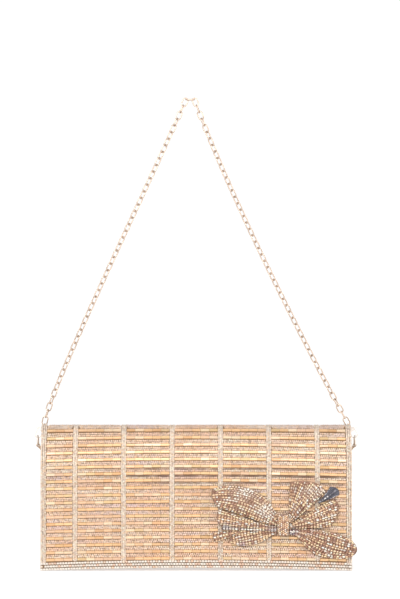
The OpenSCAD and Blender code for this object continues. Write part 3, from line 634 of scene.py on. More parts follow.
def thread_finish(name, colour):
    """Sewing thread: two plies as slanting waves, a little darker between them."""
    mat, tree, shader = nodes_of(name)
    wave = tree.nodes.new("ShaderNodeTexWave")
    wave.bands_direction = "DIAGONAL"
    wave.inputs["Scale"].default_value = 900
    link(tree, tree.nodes.new("ShaderNodeTexCoord").outputs["Object"], wave.inputs["Vector"])
    dark = tuple(c * 0.65 for c in colour)
    link(tree, ramp_between(tree, wave.outputs["Fac"], dark, colour), shader.inputs["Base Color"])
    bump(tree, shader, wave.outputs["Fac"], distance=0.00005)
    shader.inputs["Roughness"].default_value = 0.55
    shader.inputs["Sheen Weight"].default_value = 0.3
    return mat


def card_finish(name, colour):
    """Grey board: pressed fibres as two scales of noise."""
    mat, tree, shader = nodes_of(name)
    dark = tuple(c * 0.7 for c in colour)
    link(tree, ramp_between(tree, noise(tree, 500, detail=8), dark, colour), shader.inputs["Base Color"])
    bump(tree, shader, noise(tree, 1500, detail=6), distance=0.00008)
    shader.inputs["Roughness"].default_value = 0.9
    return mat


def dress(piece, mat, slot, body, *nodes):
    """Dresses a piece: its material, its slot in the record, which is not used, the body it rides on and the
    nodes it stands for."""
    piece.data.materials.clear()
    piece.data.materials.append(mat)
    if nodes:
        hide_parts(*nodes)
    if body:
        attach(piece, body)
    return piece


def wear_node(node, mat):
    """Gives a CAD node its material."""
    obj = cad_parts[node]
    if obj.material_slots:
        for slot in obj.material_slots:
            slot.material = mat
    else:
        obj.data.materials.append(mat)


# ---- Flap beadwork. Scatter is how loosely beads are sewn: standard deviations in metres and in their lean.
def panels():
    """The straight panels between borders and columns, as (start, end), and the columns' middles."""
    b = settings("beads")
    pitch = b.bugles_per_panel * b.bugle_length + b.column_width
    middles = (np.arange(b.column_count) - (b.column_count - 1) / 2) * pitch
    half = FLAP_W / 2 - b.border_width
    starts = np.concatenate([[-half], middles + b.column_width / 2])
    ends = np.concatenate([middles - b.column_width / 2, [half]])
    return starts, ends, middles, half


def row_pitch():
    """Height of one row of bugles with its band of seeds."""
    b = settings("beads")
    return (BAG_H - b.hem_band) / b.rows


def on_flap(x, s, lift):
    """Points over the flap and their normals, for arrays of x, s and lift."""
    y, z, a = over_flap(s, lift)
    x = np.broadcast_to(x, y.shape)
    return np.stack([x, y, z], -1), np.stack([np.zeros_like(a), np.cos(a), np.sin(a)], -1)


def bugle_beads():
    """Rows of bugles: whole beads at even steps of x fill each panel. Beads follow the bow of their row, whose
    slope is 2 row_drop x / half^2."""
    b, f = settings("beads"), settings("finish")
    rng = np.random.default_rng(11)
    scatter, tilt, roll = 0.00006, 0.006, 0.05
    sunk = 0.00005          # the beads' foot over the cloth, and the same left free under their tops
    starts, ends, _, _ = panels()
    counts = np.maximum(1, np.round((ends - starts) / b.bugle_length)).astype(int)
    steps = (ends - starts) / counts
    panel = np.repeat(np.arange(len(starts)), counts)
    place = np.arange(len(panel)) - np.repeat(np.cumsum(counts) - counts, counts)
    x = np.tile(starts[panel] + steps[panel] * (place + 0.5), b.rows)
    lengths = np.tile(steps[panel] - b.bead_gap, b.rows)
    rows = np.repeat(np.arange(1, b.rows + 1), len(panel))
    n = len(x)
    middle_z = BAG_H - rows * row_pitch() + (b.bugle_width + b.bead_gap) / 2
    s = bowed(x, down_to(middle_z)) + rng.normal(0, scatter, n)
    width = b.bugle_width * (1.06 + rng.normal(0, 0.02, n))
    height = b.bead_height - 2 * sunk
    at, up = on_flap(x, s, height / 2 + sunk)
    slant = 2 * b.row_drop * x / (FLAP_W / 2) ** 2 * eased(s / ROW_EASE)
    along = np.stack([np.ones(n), np.zeros(n), -slant], 1) + rng.normal(0, tilt, (n, 3)) * [0, 1, 1]
    up = up + rng.normal(0, roll, (n, 3)) * [0, 1, 1]
    drift = wander(x + rows * 0.37, 0.018, 3)
    tones = tint(f.gold, [
        ((0.84, 0.58, 0.44), np.clip(drift * 1.4 - 0.55, 0, 0.6)),      # rose, in patches
        ((0.74, 0.58, 0.30), 0.5 * some(rng, n, 0.14)),                 # olive gold
        ((0.96, 0.78, 0.56), 0.7 * some(rng, n, 0.22)),                 # cream
        ((0.70, 0.36, 0.15), 0.45 * some(rng, n, 0.1)),                 # rust
    # each bead's random light, less at the crest by painted shade
    ], (0.92 + 0.16 * rng.random(n)) * light_below_crest_shade(s))
    size = np.stack([lengths, width, np.full(n, height)], 1)
    return strew("bugle_beads", BUGLE, at, along, up, size, tones, smooth=False)


SEED_SUNK = 0.42        # height of a seed's middle over the cloth, as a share of its size
CREST_SEEDS = 0.0006    # where the first band starts below the crest
# Painted shadow under the bugles of these rows: how far the first strand of seeds turns dark brown; it fades to
# the left
PAINTED_ROW_SHADOWS = {6: 0.55, 7: 0.8, 8: 0.5}
SHADOW_BROWN = (0.16, 0.07, 0.03)
PALE_TO, PALE_OVER = -0.11, 0.08        # they are weak left of x = PALE_TO, and full from PALE_OVER past it


def seed_row(row):
    """One band of seeds under a bugle row, panel by panel: places, ways of the holes, normals and tones. Strand
    k is even steps of x in the panel, shifted by its lean, at its own share of the band's height."""
    b, f = settings("beads"), settings("finish")
    rng = np.random.default_rng(100 + row)
    scatter_x, scatter_s, tilt, lean_share = 0.00009, 0.00010, 0.12, 0.55
    size, gap = b.seed_size, b.bead_gap
    top = float(down_to(BAG_H - row * row_pitch() - gap * 1.6)) if row else CREST_SEEDS
    low = float(down_to(BAG_H - (row + 1) * row_pitch() + b.bugle_width + gap))
    strands = max(2, round((low - top) / (size * 1.02)))
    starts, ends, _, _ = panels()
    for p, (x0, x1) in enumerate(zip(starts, ends)):
        count = round((x1 - x0) / (size * 1.04))
        step = (x1 - x0) / count
        lean = (1 if (row * 3 + p * 5 + (row * p) % 3) % 3 else -1) * lean_share
        k = np.repeat(np.arange(strands), count)
        x = np.tile(x0 + step * (np.arange(count) + 0.5), strands)
        shift = lean * (k - (strands - 1) / 2) * (low - top) / strands
        n = len(x)
        x = np.clip(x + shift, x0 + size / 2, x1 - size / 2) + rng.normal(0, scatter_x, n)
        s = bowed(x, top + (low - top) * (k + 0.5) / strands) + rng.normal(0, scatter_s, n)
        at, up = on_flap(x, s, size * SEED_SUNK)
        along = np.cross([[1.0, 0, 0]], up) + np.array([lean, 0, 0]) + rng.normal(0, tilt, (n, 3))
        drift, mauve = wander(x + row * 1.37, 0.03, 5), wander(x + row * 0.71, 0.05, 8)
        # painted shadow: the first strand under a bugle row darkens, less to the left
        dark = (k == 0) * PAINTED_ROW_SHADOWS.get(row, 0) * (0.3 + 0.7 * eased((x - PALE_TO) / PALE_OVER))
        tones = tint(f.rose, [
            (f.silver, np.clip(drift * 1.6 - 0.3, 0, 1) * 0.9),             # silver, in patches
            ((0.78, 0.62, 0.66), np.clip(mauve - 0.62, 0, 1) * 1.4),        # mauve, in patches
            ((0.98, 0.68, 0.42), 0.5 * some(rng, n, 0.24)),                 # amber
            ((0.55, 0.36, 0.25), 0.5 * some(rng, n, 0.07)),                 # brown
        # each bead's random light, less at the crest by painted shade
        ], (0.9 + 0.25 * rng.random(n)) * light_below_crest_shade(s))
        # the painted shadow comes and goes along the row
        dark = dark * np.clip(0.4 + wander(x + row * 2.3, 0.006, 9), 0, 1)
        yield at, along, up, tint(tones, [(SHADOW_BROWN, dark)], np.ones(n))


def seed_bands():
    """Bands of seeds between the bugle rows, in strands on leaning threads, split into three meshes."""
    b = settings("beads")
    pieces = []
    for part, rows in enumerate(np.array_split(np.arange(b.rows), 3)):
        panels_of_seeds = [panel for row in rows for panel in seed_row(row)]
        at, along, up, tones = (np.concatenate(column) for column in zip(*panels_of_seeds))
        sizes = np.tile(b.seed_size * np.array([0.98, 1.08, 1]), (len(at), 1))
        pieces.append(strew(f"seed_band_{part + 1}", SEED, at, along, up, sizes, tones))
    return pieces


def herringbone(name, middles, width, strands, z_low, base, seed):
    """Stitched strips: strands of seeds side by side down the flap, each leaning against the last."""
    b = settings("beads")
    rng = np.random.default_rng(seed)
    scatter, tilt, lean, sunk, first_s = 0.00007, 0.1, 0.9, 0.44, 0.0009
    size = b.seed_size * 0.98
    s0, s1 = first_s, float(down_to(z_low))
    count = int((s1 - s0) / (size * 0.88))
    step = (s1 - s0) / (count - 1)
    middle, k, place = (axis.ravel() for axis in lattice(middles, np.arange(strands), np.arange(count)))
    n = len(k)
    x = middle + width * ((k + 0.5) / strands - 0.5) + rng.normal(0, scatter, n)
    s = s0 + step * (place + (k % 2) / 2)
    at, up = on_flap(x, s, size * sunk)
    leaning = np.where(k % 2, lean, -lean)[:, None] * [1, 0, 0]
    along = np.cross([[1.0, 0, 0]], up) + leaning + rng.normal(0, tilt, (n, 3))
    tones = tint(base, [
        ((0.97, 0.88, 0.76), 0.6 * some(rng, n, 0.4)),                  # ivory
        ((0.66, 0.48, 0.36), 0.5 * some(rng, n, 0.2)),                  # brown
        ((0.92, 0.66, 0.42), 0.5 * some(rng, n, 0.2)),                  # amber
    # each bead's random light, less at the crest by painted shade
    ], (0.88 + 0.26 * rng.random(n)) * light_below_crest_shade(s))
    return strew(name, SEED, at, along, up, np.tile([size * 0.92, size * 1.08, size], (n, 1)), tones)


def hem_strands():
    """Strands of rounder beads that follow the bowed hem: z = up - drop (x / half)^2, up to the lowest row,
    which bows less."""
    b, f = settings("beads"), settings("finish")
    rng = np.random.default_rng(41)
    most, apart, into_row, tilt = 5, 0.0002, 0.0003, 0.1
    size, pitch, half = b.hem_bead, b.hem_bead * 1.065, FLAP_W / 2
    count = round(2 * half / pitch)
    k, place = (axis.ravel() for axis in lattice(np.arange(most), np.arange(count)))
    x = (place + 0.5) / count * 2 * half - half
    x = x + (k % 2) * pitch / 2 * (np.abs(x) < half - pitch)
    z = CLEAR + size / 2 + k * (size + apart) - b.hem_drop * (x / half) ** 2
    keep = z + size / 2 < b.hem_band + into_row - b.row_drop * (x / half) ** 2
    x, z = x[keep], z[keep]
    n = len(x)
    at, up = on_flap(x, down_to(z), size * SEED_SUNK)
    along = np.stack([np.ones(n), np.zeros(n), -2 * b.hem_drop * x / half ** 2], 1)
    along = along + rng.normal(0, tilt, (n, 3))
    tones = tint(f.rose, [
        ((1.0, 0.93, 0.85), 0.9 * some(rng, n, 0.85)),                  # ivory
        ((0.66, 0.50, 0.40), 0.35 * some(rng, n, 0.1)),                 # brown
        (f.gold, 0.3 * some(rng, n, 0.15)),
    ], 0.94 + 0.12 * rng.random(n))
    sizes = np.tile([size * 0.98, size * 1.04, size * 0.85], (n, 1))
    return strew("hem_strands", SEED, at, along, up, sizes, tones)


# ---- Flap cloth
def flap_grid(depth, inset, m=60, n=81):
    """A sheet over the flap, depth under the beads' feet: x = v times the half width, which narrows round the
    top corners, and s runs from the crest to the bowed hem, so that each column ends at its own height."""
    b = settings("beads")
    v = np.linspace(-1, 1, n)
    half = FLAP_W / 2 - inset
    ends = down_to(CLEAR + inset - b.hem_drop * (v * half / (FLAP_W / 2)) ** 2)
    s = np.linspace(0, 1, m)[:, None] * ends[None]
    y, z, _ = over_flap(s, -depth)
    over = np.clip(z - (BAG_H - b.corner_radius), 0, b.corner_radius)
    corner = b.corner_radius - np.sqrt(np.maximum(b.corner_radius ** 2 - over ** 2, 0))
    return np.stack([v[None] * (half - corner), y, z], -1)


def flap_edge(depth, inset, steps=200, skip=8):
    """The line round the flap at an inset from its edge: down one side, along the hem and up the other. It
    skips the first few steps beside the crest, where the corners turn."""
    grid = flap_grid(depth, inset, steps, steps)
    return np.concatenate([grid[skip:, 0], grid[-1, 1:-1], grid[:skip:-1, -1]])


# ---- Bow
def bezier(p, t):
    """A cubic curve through p[0] and p[3], pulled by p[1] and p[2]: the Bernstein sum."""
    t = np.asarray(t)[..., None]
    p = [np.asarray(q, float) for q in p]
    return (1 - t) ** 3 * p[0] + 3 * (1 - t) ** 2 * t * p[1] + 3 * (1 - t) * t * t * p[2] + t ** 3 * p[3]


# Each fold is drawn between an upper and a lower curve of [x, z] in mm from the knot, with the bulge of its
# tip, its share of the loops' swell (0 for the tails' own), and its number of pleats.
ROOT = 5.35
FOLDS = {
    "left_loop_upper": ([(-ROOT, 8), (-10, 30), (-36, 45), (-62.7, 34.8)],
                        [(-ROOT, 1.8), (-20, 3.6), (-40, 13.2), (-57.3, 18.6)], (-3.5, 0), 1.0, 5),
    "left_loop_lower": ([(-ROOT, 1.0), (-20, 2.4), (-40, 11.6), (-56.2, 16.6)],
                        [(-ROOT, -0.6), (-20, -0.2), (-40, 0.4), (-54.5, 1.4)], (-4, 0), 0.8, 3),
    "right_loop_upper": ([(ROOT, 8.5), (5.6, 20), (5.6, 32), (6.6, 41)],
                         [(ROOT, 4.0), (17, 12.4), (28, 20.5), (38.5, 32.5)], (4, 4.5), 1.0, 5),
    "right_loop_lower": ([(ROOT, 2.8), (20, 9.6), (32, 21.5), (46.6, 25.6)],
                         [(ROOT, 0.4), (20, -1.2), (32, -0.4), (42.1, 0.7)], (5, 2), 0.8, 4),
    "left_tail": ([(-ROOT, -2.9), (-22, -3.4), (-40, -1.8), (-47.5, -10)],
                  [(-ROOT, -5), (-14, -7), (-24, -21), (-45.5, -13.6)], (-1.5, 0), 0.0, 3),
    "left_tail_back": ([(-30, -2.45), (-42, -2.5), (-50, -2.9), (-62.5, -5)],
                       [(-30, -2.9), (-40, -3.0), (-46, -7.6), (-60, -12.4)], (-1.5, 0), 0.0, 3),
    "right_tail": ([(ROOT, -1.4), (24, 0), (46, -1), (62.5, -12)],
                   [(ROOT, -5.6), (22, -6), (12, -31), (58.5, -27)], (5.6, -1), 0.0, 5),
    "net_right": ([(31.4, 23.1), (35, 26.4), (38.8, 31), (42.1, 37)],
                  [(31.8, 21.8), (36, 23.8), (43, 26.2), (50.2, 29.4)], (2.5, 2), 0.4, 3),
    "net_left": ([(-ROOT, -1.0), (-20, -0.7), (-40, 0.0), (-54, 0.9)],
                 [(-ROOT, -2.0), (-20, -2.1), (-40, -1.9), (-54, -1.4)], (-1, 0), 0.4, 1),
}
FOLD_NODES = {"left_loop": "bow_left_loop", "right_loop": "bow_right_loop", "left_tail": "bow_left_tail",
              "right_tail": "bow_right_tail", "net": "bow_netting"}
# Patches of the bow's tone: painted highlights in the pale ones, painted shade in the dark red-brown ones, and
# the netting's own blue-grey and mauve; each is [x, z] from the knot and radii in mm, the tone, and how far the
# beads turn to it
LIGHT_SHADE_AND_TONE_PATCHES = [
    # pale: painted highlights
    ((-33, 32), (10, 5), (1.00, 0.95, 0.86), 0.75),
    ((-17, 16), (7, 6), (1.00, 0.93, 0.84), 0.7),
    ((26, 33), (9, 6), (1.00, 0.90, 0.78), 0.5),
    ((37, 36), (4, 3), (1.00, 0.84, 0.80), 0.8),
    # dark red-brown: painted shade
    ((17, 42), (11, 1.6), (0.45, 0.20, 0.12), 0.8),
    ((8.5, 33), (2.6, 9), (0.50, 0.24, 0.15), 0.6),
    # blue-grey and mauve: the netting's own colour
    ((-52, 2), (8, 3), (0.45, 0.42, 0.50), 0.5),
    ((-9, 0), (6, 3), (0.36, 0.35, 0.44), 0.6),
    ((9, -3.5), (6, 3), (0.30, 0.31, 0.42), 0.8),
    ((-36, -14), (4, 3), (0.50, 0.38, 0.45), 0.7),
    # dark red-brown: painted shade
    ((28, -4), (16, 4), (0.46, 0.20, 0.13), 0.6),
    # warmer beads over the left loop
    ((-36, 27), (14, 9), (0.86, 0.60, 0.42), 0.3),
]


def turned_to_patches(tones, x, z):
    """Beads turn to each patch's tone by its share times exp(-distance^2), the distance taken in its radii."""
    for (cx, cz), (rx, rz), tone, share in LIGHT_SHADE_AND_TONE_PATCHES:
        weight = share * np.exp(-((x - cx) / rx) ** 2 - ((z - cz) / rz) ** 2)
        tones = tones + (np.asarray(tone) - tones) * weight[:, None]
    return tones


def knot_place():
    """The ribbons' root behind the knot, in bag coordinates, on the beads' tops."""
    bow = settings("bow")
    return np.array([FLAP_W / 2 - bow.from_right, FRONT_Y - CLEAR, bow.height])


def fold_point(fold, u, v, edge=0.0008):
    """A fold's surface: across v between its two edge curves, out along u from the knot. It rises by a thin
    edge, a swell as sin(pi v)^0.7 (0.55 + 0.45 sin(pi u^0.8)), and pleats as (1 - cos(2 pi folds v)) / 2 sin(pi
    v)."""
    bow = settings("bow")
    upper, lower, bulge, share, folds = FOLDS[fold]
    flat = bezier(lower, u) * (1 - v)[..., None] + bezier(upper, u) * v[..., None]
    flat = flat + np.asarray(bulge, float) * (u ** 3 * 4 * v * (1 - v))[..., None]
    swell = bow.loop_swell * share if share else bow.tail_swell
    dome = np.sin(math.pi * np.clip(v, 0, 1)) ** 0.7 * (0.55 + 0.45 * np.sin(math.pi * u ** 0.8))
    pleats = (1 - np.cos(2 * math.pi * folds * v)) / 2 * np.sin(math.pi * v)
    rise = edge + (swell - edge) * dome + bow.pleat * pleats
    place = knot_place()
    return np.stack([place[0] + flat[..., 0] * MM, place[1] - rise, place[2] + flat[..., 1] * MM], -1)


def towards_viewer(amount):
    """Offsets of an amount towards -Y."""
    return np.stack([np.zeros_like(amount), -amount, np.zeros_like(amount)], -1)


def fold_cloth(fold, m=45, n=25):
    """The netting under a fold's beads: the fold's surface as an outer grid, and the same a gap behind it. The
    bare netting is ruffled as 0.7 mm sin(9 u + 14 v) sin(pi v)."""
    u, v = lattice(np.linspace(0, 1, m), np.linspace(0, 1, n))
    outer = fold_point(fold, u, v)
    if fold.startswith("net"):
        outer = outer + towards_viewer(0.0007 * np.sin(9 * u + 14 * v) * np.sin(math.pi * v))
    return cloth_shell(fold + "_cloth", (outer, outer + [0, CLEAR, 0]))


def open_net(fold, m, n):
    """Bare mesh over the dark cloth: the fold's surface on a coarse grid, raised by 0.5 mm and by up to 0.6 mm
    more as sin(23 u + 11 v)^2, left as threads alone."""
    u, v = lattice(np.linspace(0.03, 1.0, m), np.linspace(0.04, 0.96, n))
    points = fold_point(fold, u, v) + towards_viewer(0.0005 + 0.0006 * np.sin(23 * u + 11 * v) ** 2)
    piece = mesh_piece(fold + "_mesh", row_frame(points.reshape(-1, 3)), grid_faces(m, n))
    threads = piece.modifiers.new("threads", "WIREFRAME")
    threads.thickness = 0.00026
    threads.use_even_offset = False
    return piece


def string_beads(fold, rng, seed):
    """Beads along each string of a fold, string by string: places, ways of the holes, normals, how narrow,
    drift of the tone, and painted shade by depth in a pleat. Where the fold narrows, every second string ends,
    then
    every second of the rest: string k stays where the gap times 2^level is wide enough."""
    bow = settings("bow")
    steps, margin, bead_gap, narrowest, loose_end = 161, 0.02, 0.0002, 0.62, 0.0014
    u, v = lattice(np.linspace(0, 1, steps), np.linspace(margin, 1 - margin, 41))
    across = np.linalg.norm(np.diff(fold_point(fold, u, v), axis=1), axis=2).sum(1)
    count = max(2, int(round(across.max() / bow.string_pitch)))
    for k in range(count):
        share = margin + (1 - 2 * margin) * (k + 0.5) / count
        line = fold_point(fold, u[:, 0], np.full(steps, share))
        beside = fold_point(fold, u[:, 0], np.full(steps, share + margin))
        level = ((k + 1) & -(k + 1)).bit_length() - 1
        run = run_of(line)
        first, last = bow.bead_length * (0.3 + 0.5 * rng.random()), run[-1] - loose_end * rng.random()
        marks = np.arange(first, last, bow.bead_length + bead_gap)
        marks = marks[np.interp(marks, run, across) / count * 2 ** level > narrowest * bow.string_pitch]
        gap = np.interp(marks, run, across) / count * 2 ** level
        at, along = at_marks(marks, run, line), at_marks(marks, run, np.gradient(line, axis=0))
        normal = np.cross(along, at_marks(marks, run, beside) - at)
        normal *= np.where(normal[:, 1:2] > 0, -1, 1)
        normal /= np.maximum(np.linalg.norm(normal, axis=1, keepdims=True), 1e-12)
        # painted shade in the pleats: darkest down in each fold, none at the fold's edges
        pleat_shade = (1 + math.cos(2 * math.pi * FOLDS[fold][4] * share)) / 2
        pleat_shade = 0.85 * pleat_shade ** 3 * min(1, 6 * share * (1 - share))
        yield (at, along / np.linalg.norm(along, axis=1, keepdims=True), normal,
               np.clip(gap / bow.string_pitch, 0.72, 1), wander(marks + k * 0.31, 0.012, seed + 1),
               np.full(len(marks), pleat_shade))


def fold_beads(fold, seed):
    """Strings of short bugles and seeds over a fold; the bare netting on the right keeps every third string."""
    bow, f = settings("bow"), settings("finish")
    rng = np.random.default_rng(seed)
    strings = list(string_beads(fold, rng, seed))
    if fold == "net_right":
        strings = strings[::3]
    at, along, up, narrow, drift, pleat_shade = (np.concatenate(column) for column in zip(*strings))
    n = len(at)
    raised, tilt = 0.0005, 0.06
    # Length, width and height of the two kinds of bead
    bugle, seed_bead = [bow.bead_length, 0.0018, 0.0014], [bow.bead_length * 0.66, 0.0020, 0.0018]
    size = np.where(some(rng, n, 0.65)[:, None], bugle, seed_bead) * np.stack([np.ones(n), narrow, narrow], 1)
    base = {"net_left": (0.95, 0.82, 0.76), "net_right": (0.30, 0.28, 0.33)}.get(fold, f.copper)
    tones = tint(base, [
        ((1.0, 0.76, 0.52), np.clip(drift * 1.6 - 0.3, 0, 1)),          # amber, in patches
        ((1.0, 0.91, 0.80), 1.0 * some(rng, n, 0.34)),                  # ivory: painted highlights, as glints on a random share of the beads
        ((0.40, 0.19, 0.12), 0.85 * some(rng, n, 0.2)),                 # brown
        ((0.36, 0.17, 0.11), pleat_shade),                                   # painted shade down in the pleats
    ], 0.85 + 0.35 * rng.random(n))
    place = knot_place()
    # the patches' painted highlights and painted shade, and the netting's own tones
    tones = np.clip(turned_to_patches(tones, (at[:, 0] - place[0]) / MM, (at[:, 2] - place[2]) / MM), 0.01, 1)
    if fold == "net_right":
        tones = tint((0.34, 0.33, 0.38), [
            ((0.72, 0.70, 0.72), 0.8 * some(rng, n, 0.35)),             # pale grey
            ((0.12, 0.11, 0.14), 0.8 * some(rng, n, 0.4)),              # near black
        ], np.ones(n))
    return strew(fold + "_beads", SEED, at + up * raised, along + rng.normal(0, tilt, (n, 3)), up, size, tones)


def knot_middle():
    """The middle of the knot, in bag coordinates."""
    bow = settings("bow")
    return knot_place() + [0, -bow.knot_radius, bow.knot_up]


def knot_radius(z, rise):
    """Radius of the knot at a share z of its height from its middle: radius (1 - 0.2 (2 z)^2) plus the rise."""
    return settings("bow").knot_radius * (1 - 0.2 * (2 * z) ** 2) + rise


def knot_cloth(sides=28, m=13, sunk=0.0006):
    """The knot's netting: the barrel's profile turned once, closed on its axis at both ends."""
    z = np.linspace(-0.5, 0.5, m)
    r = np.concatenate([[0], knot_radius(z, -sunk), [0]])
    z = np.concatenate([[-0.5], z, [0.5]]) * settings("bow").knot_height
    turn, middle = circle(sides), knot_middle()
    points = np.stack([middle[0] + np.outer(r, turn[:, 0]), middle[1] + np.outer(r, turn[:, 1]),
                       middle[2] + np.repeat(z[:, None], sides, 1)], -1).reshape(-1, 3)
    points = row_frame(points)
    piece = mesh_piece("knot_cloth", points, outward(points, ring_faces(len(r), sides)[:, [0, 3, 2, 1]]))
    close_poles(piece)
    return piece


def knot_beads():
    """Columns of seeds round the knot's front half: x and y = r(z) (cos a, sin a), the holes upright."""
    bow, f = settings("bow"), settings("finish")
    rng = np.random.default_rng(77)
    pitch, apart, tilt, sunk = 0.0017, 22.5, 0.15, 0.0004
    covered = 0.94          # share of the knot's height that the columns take
    rows = int(bow.knot_height / pitch)
    place, a = (axis.ravel() for axis in lattice(np.arange(rows), np.radians(np.arange(180, 361, apart))))
    n = len(a)
    z = (place + 0.5 + (np.round(a / math.radians(apart)) % 2) * 0.5) / rows - 0.5
    r = knot_radius(z, -sunk)
    at = knot_middle() + np.stack([r * np.cos(a), r * np.sin(a), z * bow.knot_height * covered], 1)
    up = np.stack([np.cos(a), np.sin(a), np.zeros(n)], 1)
    along = np.tile([0.0, 0, 1], (n, 1)) + rng.normal(0, tilt, (n, 3))
    tones = tint(f.copper, [
        ((0.90, 0.62, 0.45), 0.8 * some(rng, n, 0.6)),                  # rose gold
        ((1.0, 0.90, 0.80), 0.8 * some(rng, n, 0.3)),                   # ivory
        ((0.36, 0.18, 0.12), 0.7 * some(rng, n, 0.2)),                  # brown
    ], 0.85 + 0.3 * rng.random(n))
    return strew("knot_beads", SEED, at, along, up, np.tile([0.0014, 0.0018, 0.0018], (n, 1)), tones)


# ---- Body
def section(line, count, steps=25):
    """Points and outward normals at even steps of a line of arcs, each given as (centre, radius, start, end)
    and joined to the next by a straight."""
    turns = [np.linspace(a0, a1, steps) for _, _, a0, a1 in line]
    normals = np.concatenate([np.stack([np.cos(t), np.sin(t)], 1) for t in turns])
    middles = np.concatenate([np.tile(np.asarray(c, float), (steps, 1)) for c, _, _, _ in line])
    radii = np.repeat([r for _, r, _, _ in line], steps)[:, None]
    points = middles + radii * normals
    run = run_of(points)
    even = np.linspace(0, run[-1], count)
    points, normals = at_marks(even, run, points), at_marks(even, run, normals)
    return points, normals / np.linalg.norm(normals, axis=1, keepdims=True)


def body_arcs():
    """The arcs of the body's outside: the front's slope up to the mouth and on to the crest, the two lower
    edges, and the back's slope and top roll."""
    s = settings("body")
    crest, slope, flap_knee, _, _ = arcs()
    front_r = settings("beads").slope_radius - s.overhead
    mouth = math.pi - math.asin((MOUTH_Z - slope[1]) / front_r)
    knee = math.pi / 2 - s.back_turn
    shoulder = crest + (s.back_roll - s.back_slope) * np.array([math.cos(knee), math.sin(knee)])
    r = s.base_radius
    seam = 0.35                         # where the wrap meets the back, as an angle below the back's start
    cover_end, lining_end = 1.51, 1.3   # how far up the top roll the back cover and the lining reach
    turn = 2 * math.pi
    front, back = (slope[0] - front_r + r, r), (shoulder[0] + s.back_slope - r, r)
    slope_down, front_edge = (slope, front_r, mouth, math.pi), (front, r, math.pi, 1.5 * math.pi)
    up_the_back = [(shoulder, s.back_slope, 0, knee), (crest, s.back_roll, knee, cover_end)]
    return {
        "wrap": [slope_down, front_edge, (back, r, 1.5 * math.pi, turn - seam)],
        "back": [(back, r, -seam, 0), *up_the_back],
        "front_edge": [(slope, front_r, flap_knee, math.pi), front_edge],
        "back_edge": [(back, r, -math.pi / 2, 0), *up_the_back],
        "inside": [slope_down, front_edge, (back, r, 1.5 * math.pi, turn),
                   (shoulder, s.back_slope, turn, turn + knee),
                   (crest, s.back_roll, turn + knee, turn + lining_end)],
    }


def half_at(z, taper=0.006):
    """Half the body's width: full up to the shoulders, narrower above by shoulder_in, which comes within the
    taper below them, with rounded top corners."""
    s, r = settings("body"), settings("beads").corner_radius
    top = arcs()[0][1] + s.back_roll
    over = np.clip(z - (top - r), 0, r)
    shoulder = s.shoulder_in * eased((z - s.shoulder_z + taper) / taper)
    return BODY_HALF - shoulder - r + np.sqrt(r * r - over * over)


def skin(line, count, depth, inset=0.0, n=81, ripple=0.0, seed=1, calm=0.012):
    """A sheet along one of the body's lines: x = v times the half width, pushed inwards by its depth, by the
    roll r - sqrt(r^2 - reach^2) near its two edges, and by ripples that wander along both ways and fade
    over the calm width at the edges."""
    s = settings("body")
    points, normals = section(body_arcs()[line], count)
    half = half_at(points[:, 1])[:, None] - inset
    x = np.sin(np.linspace(-math.pi / 2, math.pi / 2, n))[None] * half
    reach = np.clip(np.abs(x) - half + s.edge_radius, 0, s.edge_radius)
    deep = depth + s.edge_radius - np.sqrt(s.edge_radius ** 2 - reach ** 2)
    if ripple:
        run = np.linspace(0, 1, count)[:, None]
        wave = wander(x + run * 0.06, 0.03, seed) * wander(run * 0.4 + x * 0.3, 0.05, seed + 1)
        deep = deep + ripple * wave * np.sin(math.pi * run) ** 0.5 * np.clip((half - np.abs(x)) / calm, 0, 1)
    yz = points[:, None] - normals[:, None] * deep[..., None]
    return np.concatenate([x[..., None], yz], -1)


def side_wall(side, depth, inset, m=70, n=25):
    """A gusset: level rulings between the front's edge line and the back's, both the depth inside the section.
    It leans in by a soft crease as sin^2 across it, which fades to nothing at the base and under the
    ring tab."""
    s = settings("body")
    eased_in, tab_foot, eased_out = 0.03, 0.068, 0.02       # heights over which the crease comes and goes
    thinnest = 0.0003       # the least the wall is across where the two edge lines meet at the top
    above_front, before_back = 0.003, 0.0004        # the front line is led on to a point just before the back's
    edges = []
    for name in ("front_edge", "back_edge"):
        points, normals = section(body_arcs()[name], 160)
        line = points - normals * depth
        edges.append(line[np.argsort(line[:, 1])])
    front, back = edges
    top = min(front[-1, 1] + above_front, back[-1, 1])
    front = np.concatenate([front, [[back[-1, 0] - before_back, top]]])
    low = max(front[0, 1], back[0, 1])
    z = low + (top - low) * (1 - np.cos(np.linspace(0, math.pi, m))) / 2
    y0, y1 = np.interp(z, front[:, 1], front[:, 0]), np.interp(z, back[:, 1], back[:, 0])
    w = np.linspace(0, 1, n)[None]
    fade = eased((z - low) / eased_in) * (1 - eased((z - tab_foot) / eased_out))
    x = half_at(z)[:, None] - inset - s.crease * np.sin(math.pi * w) ** 2 * fade[:, None]
    y = y0[:, None] * (1 - w) + np.maximum(y1, y0 + thinnest)[:, None] * w
    return np.stack([side * x, y, np.repeat(z[:, None], n, 1)], -1)


FLAT_LEAST = 0.0101     # the least run that a sheet is measured at
AREA_LEAST = 0.301      # the least share of its flat rectangle that its area is taken at


def declare(grid):
    """Measures a sheet's size from its grid: its longest run each way, and its quads' area; none of it is kept.
    """
    across = max(FLAT_LEAST, np.linalg.norm(np.diff(grid, axis=1), axis=2).sum(1).max())
    along = max(FLAT_LEAST, np.linalg.norm(np.diff(grid, axis=0), axis=2).sum(0).max())
    a, b = grid[1:, 1:] - grid[:-1, :-1], grid[1:, :-1] - grid[:-1, 1:]
    area = np.linalg.norm(np.cross(a, b), axis=-1).sum() / 2
    area = float(np.clip(area, AREA_LEAST * across * along, across * along))


